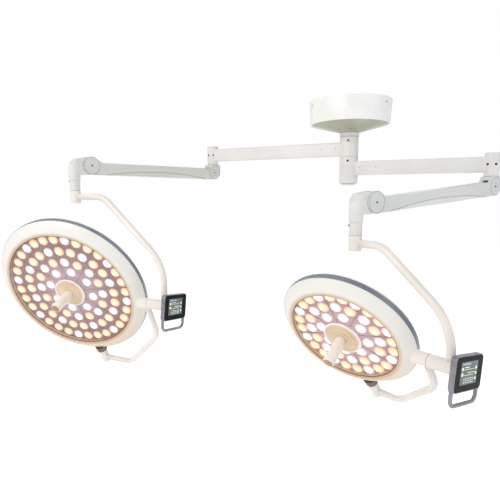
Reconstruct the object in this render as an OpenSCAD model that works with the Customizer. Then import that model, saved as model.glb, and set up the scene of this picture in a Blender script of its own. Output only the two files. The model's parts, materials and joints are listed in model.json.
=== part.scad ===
// Ceiling surgical light: two round light heads on sprung, jointed arms.
// The origin is the centre of the ceiling face, +Z is up, sizes are in millimetres.
// Values that differ between the two lights come in pairs, left first and right second.

/* [Ceiling cover] */
// Diameter of the ceiling cover at the ceiling
canopy_d = 417; // [340:1:520]
// How much smaller the cover's lower edge is in diameter
canopy_taper = 20; // [0:1:40]
// Height of the cover's wall
canopy_h = 114; // [95:1:180]
// Height of the cover's conical underside
canopy_cone_h = 40; // [20:1:60]
// Sheet thickness of the cover
canopy_wall = 2.5; // [1.5:0.5:4]
// Space between the ceiling plate's rim and the cover
plate_margin = 26; // [15:1:40]
// Thickness of the ceiling plate
plate_t = 12; // [8:1:16]
// Distance from the bolt holes to the plate's rim
bolt_edge = 30; // [20:1:40]
// Diameter of the ceiling bolt holes
bolt_hole_d = 13; // [9:1:17]
// Number of ceiling bolts
bolt_count = 6; // [4:1:8]

/* [Spindle and hubs] */
// Outer diameter of the central spindle
spindle_d = 60; // [50:1:70]
// Diameter of the cable way through the spindle
cable_way_d = 46; // [34:1:48]
// Height of the clamping collar under the cover
collar_h = 20; // [12:1:30]
// Outer diameter of the collar
collar_d = 98; // [90:1:110]
// Wall thickness of the plain bushes on the spindle
bush_wall = 6; // [4:1:7]
// Height of each bush
bush_h = 24; // [15:1:30]
// Outer diameter of both arm hubs
hub_d = 94; // [88:1:120]
// Height of the upper hub, which carries the left arm
upper_hub_h = 101; // [95:1:160]
// Height of the lower hub, which carries the right arm
lower_hub_h = 134; // [95:1:180]
// Gap between parts that turn on the same upright axis
turn_gap = 1; // [0.5:0.5:2]
// Diameter of the cap under the hubs
cap_d = 70; // [62:1:84]
// Height of the cap under the hubs
cap_h = 8; // [5:1:15]

/* [Horizontal arms] */
// Left arm, from the spindle to the knuckle
left_arm_len = 823; // [690:1:1100]
// Right arm, from the spindle to the knuckle
right_arm_len = 660; // [550:1:680]
// Direction of the left arm, seen from above
left_arm_heading = 153.8; // [140:0.1:170]
// Direction of the right arm, seen from above
right_arm_heading = -26.2; // [-40:0.1:-10]
// Height of the arms' rectangular tube
beam_h = 70; // [50:1:80]
// Width of the arms' rectangular tube
beam_w = 50; // [36:1:56]
// Wall of the rectangular tube
beam_wall = 4; // [2:0.5:5]
// Corner radius of the rectangular tube
beam_corner = 7; // [5:0.5:12]
// Depth of the left tube's centre below its hub's top
left_beam_drop = 60; // [50:1:70]
// Depth of the right tube's centre below its hub's top
right_beam_drop = 57; // [50:1:90]
// Diameter of the knuckle at the arm's end
knuckle_d = 64; // [60:1:80]
// Height of the knuckle
knuckle_h = 106; // [90:1:130]
// Diameter of the screws in hubs and knuckles
screw_d = 8; // [5:0.5:10]

/* [Spring arms] */
// Distance between the spring arm's two pivots
spring_len = 786; // [650:1:950]
// Distance of the upper pivot from the knuckle's axis
root_offset = 14; // [10:1:20]
// Depth of the upper pivot below the knuckle
root_drop = 48; // [46:1:60]
// Direction of the left spring arm, seen from above
left_spring_heading = 227.9; // [210:0.1:232]
// Direction of the right spring arm, seen from above
right_spring_heading = 213.1; // [206:0.1:230]
// Slope of the left spring arm
left_lift = 0; // [-10:0.1:5]
// Slope of the right spring arm
right_lift = -4.8; // [-10:0.1:5]
// Width of the spring arm's cover
cover_w = 62; // [60:1:80]
// Radius of the cover's round end
disc_r = 41; // [38:0.5:46]
// Height of the cover's top above the pivots, at the upper end
cover_top_root = 22; // [18:0.5:28]
// Height of the cover's top above the pivots, at the lower end
cover_top_end = 15; // [14:0.5:24]
// Wall of the cover
cover_wall = 3; // [2:0.5:4]
// Rise of the arched lower edge
arch_rise = 24; // [10:1:26]
// Length from each pivot to where the arch begins
arch_start = 70; // [60:1:120]
// Radius of the fork bracket's round cheeks
root_r = 40; // [36:0.5:40]
// Width of the inner beam's eye and of the fork's slot
tongue_w = 24; // [18:1:28]
// Diameter of the two pivot pins
pin_d = 16; // [12:1:20]
// Wire diameter of the balance spring
wire_d = 5; // [4:0.5:6]
// Number of turns in the balance spring
spring_turns = 18; // [12:1:24]

/* [Drop and yoke] */
// Distance from the spring arm's lower pivot to the drop axis
drop_offset = 72.5; // [70:0.5:80]
// Depth of the swivel seam below the lower pivot
seam_drop = 117; // [105:1:150]
// Diameter of the end bracket's tube
bracket_tube_d = 50; // [46:1:54]
// Diameter of the drop collar and of the yoke's hub
drop_d = 46; // [42:1:50]
// Height of the drop collar
drop_collar_h = 47; // [35:1:55]
// Diameter of the swivel spigot
spigot_d = 30; // [24:1:32]
// Height of the yoke's hub
yoke_hub_h = 56; // [50:1:70]
// Diameter of the yoke's bent tube
yoke_tube_d = 28; // [22:1:32]
// Direction of the left yoke, seen from above
left_yoke_heading = -26.2; // [-40:0.1:-10]
// Direction of the right yoke, seen from above
right_yoke_heading = -53.8; // [-70:0.1:-40]
// Length of the left yoke's level run
left_yoke_stub = 171; // [120:1:200]
// Length of the right yoke's level run
right_yoke_stub = 114; // [90:1:130]
// Slope of the left yoke's oblique run
left_yoke_slope = 41.4; // [35:0.1:44]
// Slope of the right yoke's oblique run
right_yoke_slope = 38.8; // [30:0.1:42]
// Bend radius at the top of the yoke
yoke_bend_top = 105; // [60:1:120]
// Bend radius at the side of the yoke
yoke_bend_side = 190; // [100:1:200]
// Room between the left head's rim and its yoke's side run
left_side_room = 150; // [140:1:180]
// Room between the right head's rim and its yoke's side run
right_side_room = 135; // [134:1:170]
// Room above the left head inside its yoke
left_head_room = 129; // [120:1:180]
// Room above the right head inside its yoke
right_head_room = 113; // [110:1:160]
// Offset of the tilt axle's middle from the drop axis
axle_offset = -16.5; // [-20:0.5:0]
// Diameter of the tilt axle's housing
axle_d = 46; // [42:1:50]

/* [Inner arms] */
// Gap between the head's rim and the inner arm's upper hub
rim_gap = 16; // [12:1:25]
// Length of the inner arm's upper hub
inner_hub_len = 51; // [45:1:60]
// Diameter of the inner arm's tube
inner_tube_d = 26; // [20:1:26]
// Length of the left inner arm's side run, from the tilt axis
left_inner_run = 180; // [150:1:190]
// Length of the right inner arm's side run, from the tilt axis
right_inner_run = 129; // [110:1:135]
// Slope of the inner arm's oblique run
inner_slope = 42; // [38:1:48]
// Bend radius of the inner arm
inner_bend = 100; // [60:1:105]
// Diameter of the lower pivot hub
pivot_hub_d = 40; // [34:1:44]
// Length of the lower pivot hub
pivot_hub_len = 69; // [64:1:80]
// Tilt of the left inner arm about its axle
left_tilt = -24.5; // [-40:0.1:0]
// Tilt of the right inner arm about its axle
right_tilt = -32.9; // [-45:0.1:0]

/* [Light heads] */
// Diameter of the left head
left_head_d = 720; // [600:1:864]
// Diameter of the right head
right_head_d = 520; // [470:1:620]
// Width of the sloping white ring and lip around the left lens
left_bezel_w = 63; // [50:1:75]
// Width of the sloping white ring and lip around the right lens
right_bezel_w = 58; // [46:1:70]
// Width of the lip around the lens
lip_w = 17; // [12:1:20]
// Height of the lens face above the pivot axis
lens_level = 40; // [36:1:48]
// Height of the rim edge above the pivot axis
rim_level = 12; // [8:1:14]
// Height of the grey band around the rim
band_h = 21; // [16:1:26]
// Depth of the rear cover's rounded shoulder
shoulder_h = 28; // [20:1:40]
// Width of the rear cover's rounded shoulder
shoulder_w = 70; // [40:1:90]
// Further rise of the rear cover towards its middle
dome_h = 8; // [4:1:20]
// Wall of the head's covers
shell_t = 3; // [2:0.5:4]
// Thickness of the clear lens plate
lens_t = 3.5; // [2.5:0.5:5]
// Diameter of each light lens
led_d = 38; // [30:1:39]
// Height of each light lens
led_h = 10; // [6:1:12]
// Turn of the left head about its lower pivot
left_head_turn = -13.2; // [-40:0.1:40]
// Turn of the right head about its lower pivot
right_head_turn = -12.7; // [-40:0.1:40]
// Height of the left head's middle above its tilt axis
left_head_shift = 38; // [20:1:40]
// Height of the right head's middle above its tilt axis
right_head_shift = 25; // [10:1:30]
// Turn of the left light pattern about the head's middle
left_pattern_turn = 1; // [-10:0.5:10]
// Turn of the right light pattern about the head's middle
right_pattern_turn = 3; // [-10:0.5:10]

/* [Handle and control panel] */
// Diameter of the disc that carries the handle
base_d = 146; // [120:1:146]
// Diameter of the sterilisable handle
handle_d = 42; // [28:1:48]
// Length of the sterilisable handle
handle_len = 112; // [90:1:140]
// Diameter of the handle's post
post_d = 20; // [14:1:22]
// Width of the control panel
panel_w = 154; // [130:1:170]
// Height of the control panel
panel_h = 108; // [95:1:125]
// Depth of the control panel
panel_t = 18; // [14:1:22]
// Corner radius of the control panel
panel_corner = 15; // [8:1:20]
// Roll of the control panel about the axle
panel_roll = 7.7; // [0:0.1:15]
// Distance from the yoke's side run to the panel's face
panel_reach = 58; // [56:1:70]
// Rod diameter of the panel's bail handle
bail_rod_d = 12; // [8:0.5:14]
// Clear depth of the bail handle
bail_depth = 34; // [28:1:50]

/* [Hidden] */
$fn = 96;
LEFT = 0;
RIGHT = 1;

// Colours
WHITE = "#f3f0ea";
ARM_GREY = "#d2d3cf";
BELLY_GREY = "#e4e4e0";
SLATE = "#858b9b";
TAN = "#d9bd97";
PLATE_MAUVE = "#8d6f6d";
DARK = "#33312f";
STEEL = "#9da0a4";
SILVER = "#8f8c96";

// Fits
run_fit = 0.05;         // radial clearance of a pin or spindle that turns in a bore
side_fit = 0.3;         // clearance beside a tongue in its slot
cover_gap = 1.5;        // clearance between a round end and the hollow that it turns in
bend_overlap = 2;       // how far a tube's straight run reaches into its bend
bend_swell = 0.15;      // how much thicker the bend is than the run, on the radius

// Pairs of values, indexed by LEFT and RIGHT
arm_len = [left_arm_len, right_arm_len];
arm_heading = [left_arm_heading, right_arm_heading];
spring_heading = [left_spring_heading, right_spring_heading];
lift = [left_lift, right_lift];
yoke_heading = [left_yoke_heading, right_yoke_heading];
yoke_stub = [left_yoke_stub, right_yoke_stub];
yoke_slope = [left_yoke_slope, right_yoke_slope];
side_room = [left_side_room, right_side_room];
head_room = [left_head_room, right_head_room];
inner_run = [left_inner_run, right_inner_run];
tilt = [left_tilt, right_tilt];
head_r = [left_head_d / 2, right_head_d / 2];
head_turn = [left_head_turn, right_head_turn];
head_shift = [left_head_shift, right_head_shift];
pattern_turn = [left_pattern_turn, right_pattern_turn];

// Ceiling mounting and spindle, all heights from the ceiling down
canopy_r = canopy_d / 2;
canopy_low_r = canopy_r - canopy_taper / 2;
plate_r = canopy_r - canopy_wall - plate_margin;
bolt_circle_r = plate_r - bolt_edge;
neck_z = -canopy_h - canopy_cone_h;
spindle_r = spindle_d / 2;
bush_r = spindle_r + bush_wall;
hub_r = hub_d / 2;
hub_h = [upper_hub_h, lower_hub_h];
upper_hub_top = neck_z - collar_h - 2 * turn_gap;
lower_hub_top = upper_hub_top - upper_hub_h - turn_gap;
hub_top = [upper_hub_top, lower_hub_top];
hubs_bottom = lower_hub_top - lower_hub_h;
flange_d = 130;
flange_t = 10;
supply_size = [150, 70, 50];
supply_offset = 108;

// Horizontal arms
beam_z = [upper_hub_top - left_beam_drop, lower_hub_top - right_beam_drop];
knuckle_r = knuckle_d / 2;
knuckle_bottom = -knuckle_h / 2;
stub_d = 36;
stub_len = knuckle_h - 16;
hub_screw_drop = 20;
hub_screw_angle = [97, -83];
knuckle_screw_side = [98, -92];
knuckle_screw_spread = 31;
screw_depth = 6;
screw_proud = 0.8;

// Spring arms
pivot_z = knuckle_bottom - root_drop;
bracket_back = root_offset + knuckle_r - 1;
pin_head_r = screw_d / 2;
pin_head_t = 5;
core_w = 44;
core_h = 36;
core_mid = -11;
core_wall = 3;
core_from = 50;
core_to = spring_len - 62;
eye_r = 20;
fork_gap = 28;
cover_bottom = 1 - disc_r;
disc_proud = 0.4;
arch_half = spring_len / 2 - arch_start;
arch_r = (arch_half * arch_half + arch_rise * arch_rise) / (2 * arch_rise);
arch_steps = 16;
belly_inset = 2;
belly_wall = 2.5;
spring_from = 110;
spring_to = spring_len * 0.6;
spring_coil_r = 12;
spring_sides = 5;
turn_steps = 8;

// End bracket, drop collar and yoke
bracket_top = 38;
bracket_bottom = -43;
spigot_r = spigot_d / 2;
spigot_len = 46;
drop_r = drop_d / 2;
yoke_level = 28;
axle_r = axle_d / 2;
reach = [for (s = [LEFT, RIGHT]) head_r[s] + side_room[s] + axle_offset];
yoke_drop = [for (s = [LEFT, RIGHT]) head_r[s] + head_room[s]];
elbow_z = [for (s = [LEFT, RIGHT]) -yoke_level - (reach[s] - yoke_stub[s]) * tan(yoke_slope[s])];
tilt_pin_d = 24;
tilt_pin_len = 50;
panel_pin_d = 18;
panel_pin_len = 22;
pin_end_gap = 2;
panel_boss_r = 17;

// Inner arm, measured from the middle of the tilt axle
inner_tube_r = inner_tube_d / 2;
inner_u = [for (s = [LEFT, RIGHT]) head_r[s] + rim_gap + inner_hub_len - inner_tube_r - 1];
axle_from = [for (s = [LEFT, RIGHT]) head_r[s] + rim_gap + inner_hub_len + cover_gap];
axle_to = [for (s = [LEFT, RIGHT]) head_r[s] + side_room[s] + panel_reach - panel_t - 11];
pivot_gap = 29;
inner_low = [for (s = [LEFT, RIGHT]) head_r[s] + pivot_gap + 46 - head_shift[s]];
pivot_pin_d = 20;
pivot_pin_len = 50;
boss_r = 29;
boss_tip_r = 24;

// Light head, heights along its own axis from the lower pivot's axis
lens_r = [left_head_d / 2 - left_bezel_w, right_head_d / 2 - right_bezel_w];
lip_level = lens_level + 3;
lens_seat = 4;
lens_back = lens_level - 0.5 - lens_t;
plate_level = lens_back - led_h - 2.5;
led_plate_t = 4;
band_bottom = rim_level - band_h;
band_proud = 1.5;
lens_hole_r = 40;
led_taper = 2;
// Each ring of lights: gap from the lens edge to its centres, number of lights
left_rings = [[24, 32], [84, 24], [141, 16], [192, 8]];
right_rings = [[17.5, 24], [65, 16], [111.5, 8]];
rings = [left_rings, right_rings];

// Handle and panel
base_r = base_d / 2;
base_step = 4;
base_edge = 5;
handle_r = handle_d / 2;
handle_from = lens_level + 3 * base_step - 1;
post_len = 70;
glass_margin = 3;
glass_t = 2;
bail_bend = 22;
bail_x = panel_w / 2 - bail_rod_d / 2;
bail_side = panel_h / 2 + bail_depth + bail_rod_d / 2;

// Frames: each places its children on one joint of a light
module at_arm(s) rotate([0, 0, arm_heading[s]]) children();
module at_knuckle(s) at_arm(s) translate([arm_len[s], 0, beam_z[s]])
    rotate([0, 0, spring_heading[s] - arm_heading[s]]) children();
module at_root(s) at_knuckle(s) translate([root_offset, 0, pivot_z]) children();
module at_lift(s) at_root(s) rotate([0, -lift[s], 0]) children();
module at_end(s) at_root(s) translate([spring_len * cos(lift[s]), 0, spring_len * sin(lift[s])]) children();
module at_seam(s) at_end(s) translate([drop_offset, 0, -seam_drop])
    rotate([0, 0, yoke_heading[s] - spring_heading[s]]) children();
module at_axle(s) at_seam(s) translate([axle_offset, 0, -yoke_drop[s]]) children();
module at_tilt(s) at_axle(s) rotate([-tilt[s], 0, 0]) children();
module at_head(s) at_tilt(s) translate([0, 0, head_shift[s]])
    rotate([0, 0, -head_turn[s]]) rotate([90, 180, 0]) children();
module at_panel(s) at_axle(s) rotate([-panel_roll, 0, 0])
    translate([head_r[s] + side_room[s] + panel_reach, 0, 0]) rotate([90, 0, 90]) children();

// Shared shapes
module rounded(size, r) {
    square([size.x - 2 * r, size.y], center = true);
    square([size.x, size.y - 2 * r], center = true);
    for (x = [-1, 1], y = [-1, 1])
        translate([x * (size.x / 2 - r), y * (size.y / 2 - r)]) circle(r);
}

module upright(w) rotate([90, 0, 0]) linear_extrude(height = w, center = true) children();

module along_x(from, to, r) translate([from, 0, 0]) rotate([0, 90, 0]) cylinder(h = to - from, r = r);

module pin(half, head) {
    rotate([90, 0, 0]) cylinder(h = 2 * half, r = pin_d / 2, center = true);
    rotate([90, 0, 0]) cylinder(h = 2 * head, r = pin_head_r, center = true);
}

function heading(a, b) = atan2(b.y - a.y, b.x - a.x);
function step(angle) = [cos(angle), sin(angle)];
function turn(from, to) = to - from - 360 * round((to - from) / 360);

// A straight run of round bar in the XY plane
module run(a, b, r) translate([a.x, a.y, 0]) rotate([0, 0, heading(a, b)]) along_x(0, norm(b - a), r);

// A round bar in the XY plane through four points, bent at the middle two. The bends are a hair
// thicker than the straight runs, which reach a little way into them.
module bent_bar(p, bends, r) {
    angles = [for (i = [0:2]) heading(p[i], p[i + 1])];
    turns = [for (i = [0:1]) turn(angles[i], angles[i + 1])];
    cuts = [for (i = [0:1]) bends[i] * tan(abs(turns[i]) / 2) - bend_overlap];
    run(p[0], p[1] - cuts[0] * step(angles[0]), r);
    run(p[1] + cuts[0] * step(angles[1]), p[2] - cuts[1] * step(angles[1]), r);
    run(p[2] + cuts[1] * step(angles[2]), p[3], r);
    for (i = [0:1]) {
        side = sign(turns[i]);
        from = p[i + 1] - (cuts[i] + bend_overlap) * step(angles[i]);
        middle = from + bends[i] * side * step(angles[i] + 90);
        first = side > 0 ? angles[i] - 90 : angles[i] + 90 - abs(turns[i]);
        translate([middle.x, middle.y, 0]) rotate([0, 0, first])
            rotate_extrude(angle = abs(turns[i])) translate([bends[i], 0]) circle(r + bend_swell);
    }
}

// Ceiling mounting
module ceiling_plate() color(STEEL) difference() {
    translate([0, 0, -plate_t]) cylinder(h = plate_t, r = plate_r);
    translate([0, 0, -plate_t - 1]) cylinder(h = plate_t + 2, r = cable_way_d / 2);
    for (i = [0:bolt_count - 1]) rotate([0, 0, i * 360 / bolt_count])
        translate([bolt_circle_r, 0, -plate_t - 1]) cylinder(h = plate_t + 2, r = bolt_hole_d / 2);
}

module canopy() color(WHITE) rotate_extrude() polygon([
    [canopy_r, 0],
    [canopy_low_r, -canopy_h],
    [collar_d / 2 - 4, neck_z],
    [spindle_r, neck_z],
    [spindle_r, neck_z + canopy_wall],
    [collar_d / 2 - 4, neck_z + canopy_wall],
    [canopy_low_r - canopy_wall - 1, -canopy_h + canopy_wall],
    [canopy_r - canopy_wall, 0]
]);

module spindle() color(STEEL) difference() {
    union() {
        translate([0, 0, hubs_bottom]) cylinder(h = -hubs_bottom - plate_t, r = spindle_r);
        translate([0, 0, -plate_t - flange_t]) cylinder(h = flange_t, r = flange_d / 2);
        translate([0, 0, neck_z - collar_h]) cylinder(h = collar_h, r = collar_d / 2);
    }
    translate([0, 0, hubs_bottom - 1]) cylinder(h = -hubs_bottom, r = cable_way_d / 2);
}

module power_supply() color(SILVER)
    translate([-supply_size.x / 2, supply_offset - supply_size.y / 2, -plate_t - supply_size.z])
    cube(supply_size);

module spindle_bushes() color(TAN)
    for (s = [LEFT, RIGHT], z = [hub_top[s] - bush_h, hub_top[s] - hub_h[s]]) translate([0, 0, z])
        difference() {
            cylinder(h = bush_h, r = bush_r);
            translate([0, 0, -1]) cylinder(h = bush_h + 2, r = spindle_r);
        }

module spindle_cap() color(WHITE) {
    translate([0, 0, hubs_bottom - turn_gap - cap_h]) cylinder(h = cap_h, r = cap_d / 2);
    translate([0, 0, hubs_bottom - turn_gap]) cylinder(h = turn_gap, r = spindle_r);
    translate([0, 0, hubs_bottom]) cylinder(h = bush_h, r = cable_way_d / 2);
}

// Horizontal arms
module hub_screw(s) at_arm(s) translate([0, 0, hub_top[s] - hub_screw_drop])
    rotate([0, 0, hub_screw_angle[s]])
    along_x(hub_r - screw_depth, hub_r + screw_proud, screw_d / 2);

module knuckle_screws(s) at_arm(s) translate([arm_len[s], 0, beam_z[s]])
    for (side = [-1, 1]) rotate([0, 0, knuckle_screw_side[s] + side * knuckle_screw_spread])
        along_x(knuckle_r - screw_depth, knuckle_r + screw_proud, screw_d / 2);

module arm_screws(s) color(DARK) {
    hub_screw(s);
    knuckle_screws(s);
}

module arm_hub(s) color(WHITE) difference() {
    translate([0, 0, hub_top[s] - hub_h[s]]) cylinder(h = hub_h[s], r = hub_r);
    translate([0, 0, hub_top[s] - hub_h[s] - 1]) cylinder(h = hub_h[s] + 2, r = bush_r + run_fit);
    hub_screw(s);
}

module arm_beam(s) color(WHITE) difference() {
    at_arm(s) difference() {
        translate([0, 0, beam_z[s]]) rotate([90, 0, 90]) linear_extrude(height = arm_len[s]) difference() {
            rounded([beam_w, beam_h], beam_corner);
            rounded([beam_w - 2 * beam_wall, beam_h - 2 * beam_wall], beam_corner - beam_wall);
        }
        translate([0, 0, beam_z[s] - beam_h]) cylinder(h = 2 * beam_h, r = hub_r);
        translate([arm_len[s], 0, beam_z[s] - beam_h]) cylinder(h = 2 * beam_h, r = knuckle_r);
    }
    hub_screw(s);
    knuckle_screws(s);
}

module arm_knuckle(s) color(WHITE) difference() {
    at_knuckle(s) difference() {
        translate([0, 0, knuckle_bottom]) cylinder(h = knuckle_h, r = knuckle_r);
        translate([0, 0, knuckle_bottom - 1]) cylinder(h = stub_len + 3, r = stub_d / 2 + run_fit);
    }
    knuckle_screws(s);
}

// Fork bracket under the knuckle, which carries the spring arm's upper pivot
module root_bracket(s) color(ARM_GREY) at_root(s) difference() {
    union() {
        upright(cover_w) {
            circle(root_r);
            polygon([
                [-bracket_back, root_drop - cover_gap],
                [-bracket_back, -root_r * 0.38],
                [-root_r * 0.3, -root_r * 0.95],
                [root_r * 0.95, root_r * 0.25],
                [knuckle_r - root_offset, root_drop - cover_gap]
            ]);
        }
        translate([-root_offset, 0, root_drop - cover_gap]) cylinder(h = stub_len, r = stub_d / 2);
    }
    rotate([90, 0, 0]) cylinder(h = tongue_w + 2 * side_fit, r = eye_r + 4, center = true);
    translate([-eye_r * 0.8, -tongue_w / 2 - side_fit, -2 * root_r])
        cube([4 * root_r, tongue_w + 2 * side_fit, 2 * root_r]);
    translate([0, -tongue_w / 2 - side_fit, -1])
        cube([4 * root_r, tongue_w + 2 * side_fit, root_drop * 0.6]);
    pin(cover_w / 2 - pin_head_t, cover_w);
}

module root_pin(s) color(DARK) at_root(s) pin(cover_w / 2 - pin_head_t, cover_w / 2 + screw_proud);

// Side outline of the spring arm's cover, without the disc at its lower end
module cover_outline() difference() {
    polygon([
        [0, cover_top_root],
        [spring_len - disc_r * 1.35, cover_top_end],
        [spring_len - disc_r * 0.3, disc_r * 0.9],
        [spring_len, 0],
        [spring_len - disc_r * 0.1, cover_bottom],
        [0, cover_bottom]
    ]);
    circle(root_r + cover_gap);
    arch(0);
}

// The space under the arch of the cover's lower edge, as tall as the arch's rise
module arch(gap) polygon([
    [spring_len / 2 + arch_half * 1.1, cover_bottom - arch_rise],
    for (i = [-arch_steps:arch_steps]) [spring_len / 2 - arch_half * i / arch_steps,
        cover_bottom + arch_rise - gap - arch_drop(arch_half * i / arch_steps)],
    [spring_len / 2 - arch_half * 1.1, cover_bottom - arch_rise]
]);
function arch_drop(x) = arch_r - sqrt(arch_r * arch_r - x * x);

module end_disc(w, r) translate([spring_len, 0, 0]) rotate([90, 0, 0]) cylinder(h = w, r = r, center = true);

module spring_cover(s) color(ARM_GREY) at_lift(s) difference() {
    union() {
        upright(cover_w) cover_outline();
        end_disc(cover_w + 2 * disc_proud, disc_r);
    }
    end_disc(cover_w - 2 * cover_wall, disc_r - cover_wall);
    upright(cover_w - 2 * cover_wall) polygon([
        [0, cover_top_root - cover_wall],
        [spring_len, cover_top_end - cover_wall],
        [spring_len, cover_bottom + cover_wall],
        [spring_len - arch_start, cover_bottom + cover_wall],
        [spring_len - arch_start, -2 * disc_r],
        [arch_start, -2 * disc_r],
        [arch_start, cover_bottom + cover_wall],
        [0, cover_bottom + cover_wall]
    ]);
    translate([spring_len, -fork_gap / 2, -disc_r - 1]) cube([disc_r + 1, fork_gap, 2 * disc_r + 2]);
    translate([0, -fork_gap / 2, -disc_r - 1]) cube([root_r + eye_r, fork_gap, disc_r]);
    translate([spring_len, 0, 0]) pin(1, cover_w);
}

module belly_outline() intersection() {
    arch(side_fit);
    translate([0, cover_bottom]) square([spring_len, arch_rise + 1]);
}

module spring_belly(s) color(BELLY_GREY) at_lift(s) difference() {
    upright(cover_w - 2 * belly_inset) belly_outline();
    translate([0, 0, belly_wall]) upright(cover_w - 2 * belly_inset - 2 * belly_wall) belly_outline();
}

// Load-bearing tube inside the spring arm, with an eye at the fork and a fork at the lower end
module spring_core(s) color(STEEL) at_lift(s) difference() {
    union() {
        translate([core_from, -core_w / 2, core_mid - core_h / 2]) cube([core_to - core_from, core_w, core_h]);
        upright(tongue_w) {
            circle(eye_r);
            polygon([
                [0, eye_r * 0.9],
                [core_from, core_mid + core_h / 2],
                [core_from + 1, core_mid - core_h / 2],
                [0, -eye_r * 0.9]
            ]);
        }
        for (side = [-1, 1]) translate([0, side * (fork_gap + core_w) / 4, 0])
            upright((core_w - fork_gap) / 2) {
                translate([spring_len, 0]) circle(eye_r);
                polygon([
                    [core_to - 1, core_mid + core_h / 2],
                    [spring_len, eye_r * 0.9],
                    [spring_len, -eye_r * 0.9],
                    [core_to - 1, core_mid - core_h / 2]
                ]);
            }
    }
    translate([spring_from - wire_d / 2, -core_w / 2 + core_wall, core_mid - core_h / 2 + core_wall])
        cube([spring_to - spring_from + wire_d, core_w - 2 * core_wall, core_h - 2 * core_wall]);
    translate([spring_to + core_wall + wire_d, -core_w / 2 + core_wall, core_mid - core_h / 2 + core_wall])
        cube([core_to - spring_to - 3 * core_wall - wire_d, core_w - 2 * core_wall, core_h - 2 * core_wall]);
    rotate([90, 0, 0]) cylinder(h = core_w, r = pin_d / 2 + run_fit, center = true);
    translate([spring_len, 0, 0]) rotate([90, 0, 0]) cylinder(h = core_w + 1, r = pin_d / 2, center = true);
}

// Balance spring: a round wire wound into a helix along the arm
function helix_point(i) =
    let (t = i / (spring_turns * turn_steps), a = i * 360 / turn_steps)
    [spring_from + wire_d / 2 + t * (spring_to - spring_from - wire_d),
     spring_coil_r * cos(a), core_mid + spring_coil_r * sin(a)];
function wire_ring(i) =
    let (c = helix_point(i), a = i * 360 / turn_steps, out = [0, cos(a), sin(a)])
    [for (k = [0:spring_sides - 1])
        c + wire_d / 2 * (cos(k * 360 / spring_sides) * out + sin(k * 360 / spring_sides) * [1, 0, 0])];

module coil_spring(s) color(SILVER) at_lift(s) {
    last = spring_turns * turn_steps;
    points = [for (i = [0:last]) each wire_ring(i)];
    sides = [for (i = [0:last - 1], k = [0:spring_sides - 1])
        let (n = (k + 1) % spring_sides, a = i * spring_sides, b = a + spring_sides)
        each [[a + k, b + k, b + n], [a + k, b + n, a + n]]];
    first_cap = [for (k = [0:spring_sides - 1]) k];
    last_cap = [for (k = [0:spring_sides - 1]) (last + 1) * spring_sides - 1 - k];
    polyhedron(points, concat(sides, [first_cap, last_cap]));
}

module end_pin(s) color(DARK) at_lift(s) translate([spring_len, 0, 0])
    pin(core_w / 2, cover_w / 2 + screw_proud);

// Bracket on the spring arm's lower pivot: tongue, slanted block and upright tube
module end_bracket(s) color(WHITE) at_end(s) difference() {
    union() {
        upright(fork_gap - 2 * side_fit) {
            circle(eye_r);
            translate([0, -eye_r * 0.9]) square([drop_offset, eye_r * 1.8]);
        }
        intersection() {
            upright(bracket_tube_d) difference() {
                polygon([
                    [disc_r * 0.65, bracket_top],
                    [drop_offset - 6, bracket_top * 0.78],
                    [drop_offset + bracket_tube_d * 0.24, bracket_top * 0.3],
                    [drop_offset + bracket_tube_d / 2, 0],
                    [drop_offset + bracket_tube_d / 2, bracket_bottom],
                    [disc_r * 0.5, bracket_bottom]
                ]);
                circle(disc_r + cover_gap);
            }
            union() {
                translate([drop_offset, 0, bracket_bottom]) cylinder(h = 90, r = bracket_tube_d / 2);
                translate([0, -bracket_tube_d / 2, bracket_bottom]) cube([drop_offset, bracket_tube_d, 90]);
            }
        }
        translate([drop_offset, 0, drop_collar_h - seam_drop])
            cylinder(h = seam_drop - drop_collar_h, r = bracket_tube_d / 2);
    }
    translate([drop_offset, 0, drop_collar_h - seam_drop - 1]) cylinder(h = spigot_len + 1, r = spigot_r);
    rotate([90, 0, 0]) cylinder(h = cover_w, r = pin_d / 2 + run_fit, center = true);
}

// Collar under the bracket, with a spigot up into it and one down into the yoke's hub
module drop_tube(s) color(WHITE) at_seam(s) {
    cylinder(h = drop_collar_h, r = drop_r);
    translate([0, 0, drop_collar_h]) cylinder(h = spigot_len, r = spigot_r);
    translate([0, 0, -spigot_len]) cylinder(h = spigot_len, r = spigot_r);
}

// Yoke: swivel hub, bent tube and tilt axle housing, welded into one
module yoke(s) color(WHITE) at_seam(s) difference() {
    union() {
        translate([0, 0, -yoke_hub_h - turn_gap]) cylinder(h = yoke_hub_h, r = drop_r);
        rotate([90, 0, 0]) bent_bar([
            [drop_r - 3, -yoke_level - turn_gap],
            [yoke_stub[s], -yoke_level - turn_gap],
            [reach[s], elbow_z[s]],
            [reach[s], -yoke_drop[s] + axle_r - 3]
        ], [yoke_bend_top, yoke_bend_side], yoke_tube_d / 2);
        translate([axle_offset, 0, -yoke_drop[s]]) along_x(axle_from[s], axle_to[s], axle_r);
    }
    translate([0, 0, -turn_gap - spigot_len - pin_end_gap])
        cylinder(h = spigot_len + pin_end_gap + 1, r = spigot_r + run_fit);
    translate([axle_offset, 0, -yoke_drop[s]]) {
        along_x(axle_from[s] - 1, axle_from[s] + tilt_pin_len + pin_end_gap, tilt_pin_d / 2 + run_fit);
        along_x(axle_to[s] - panel_pin_len - pin_end_gap, axle_to[s] + 1, panel_pin_d / 2 + run_fit);
    }
}

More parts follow.
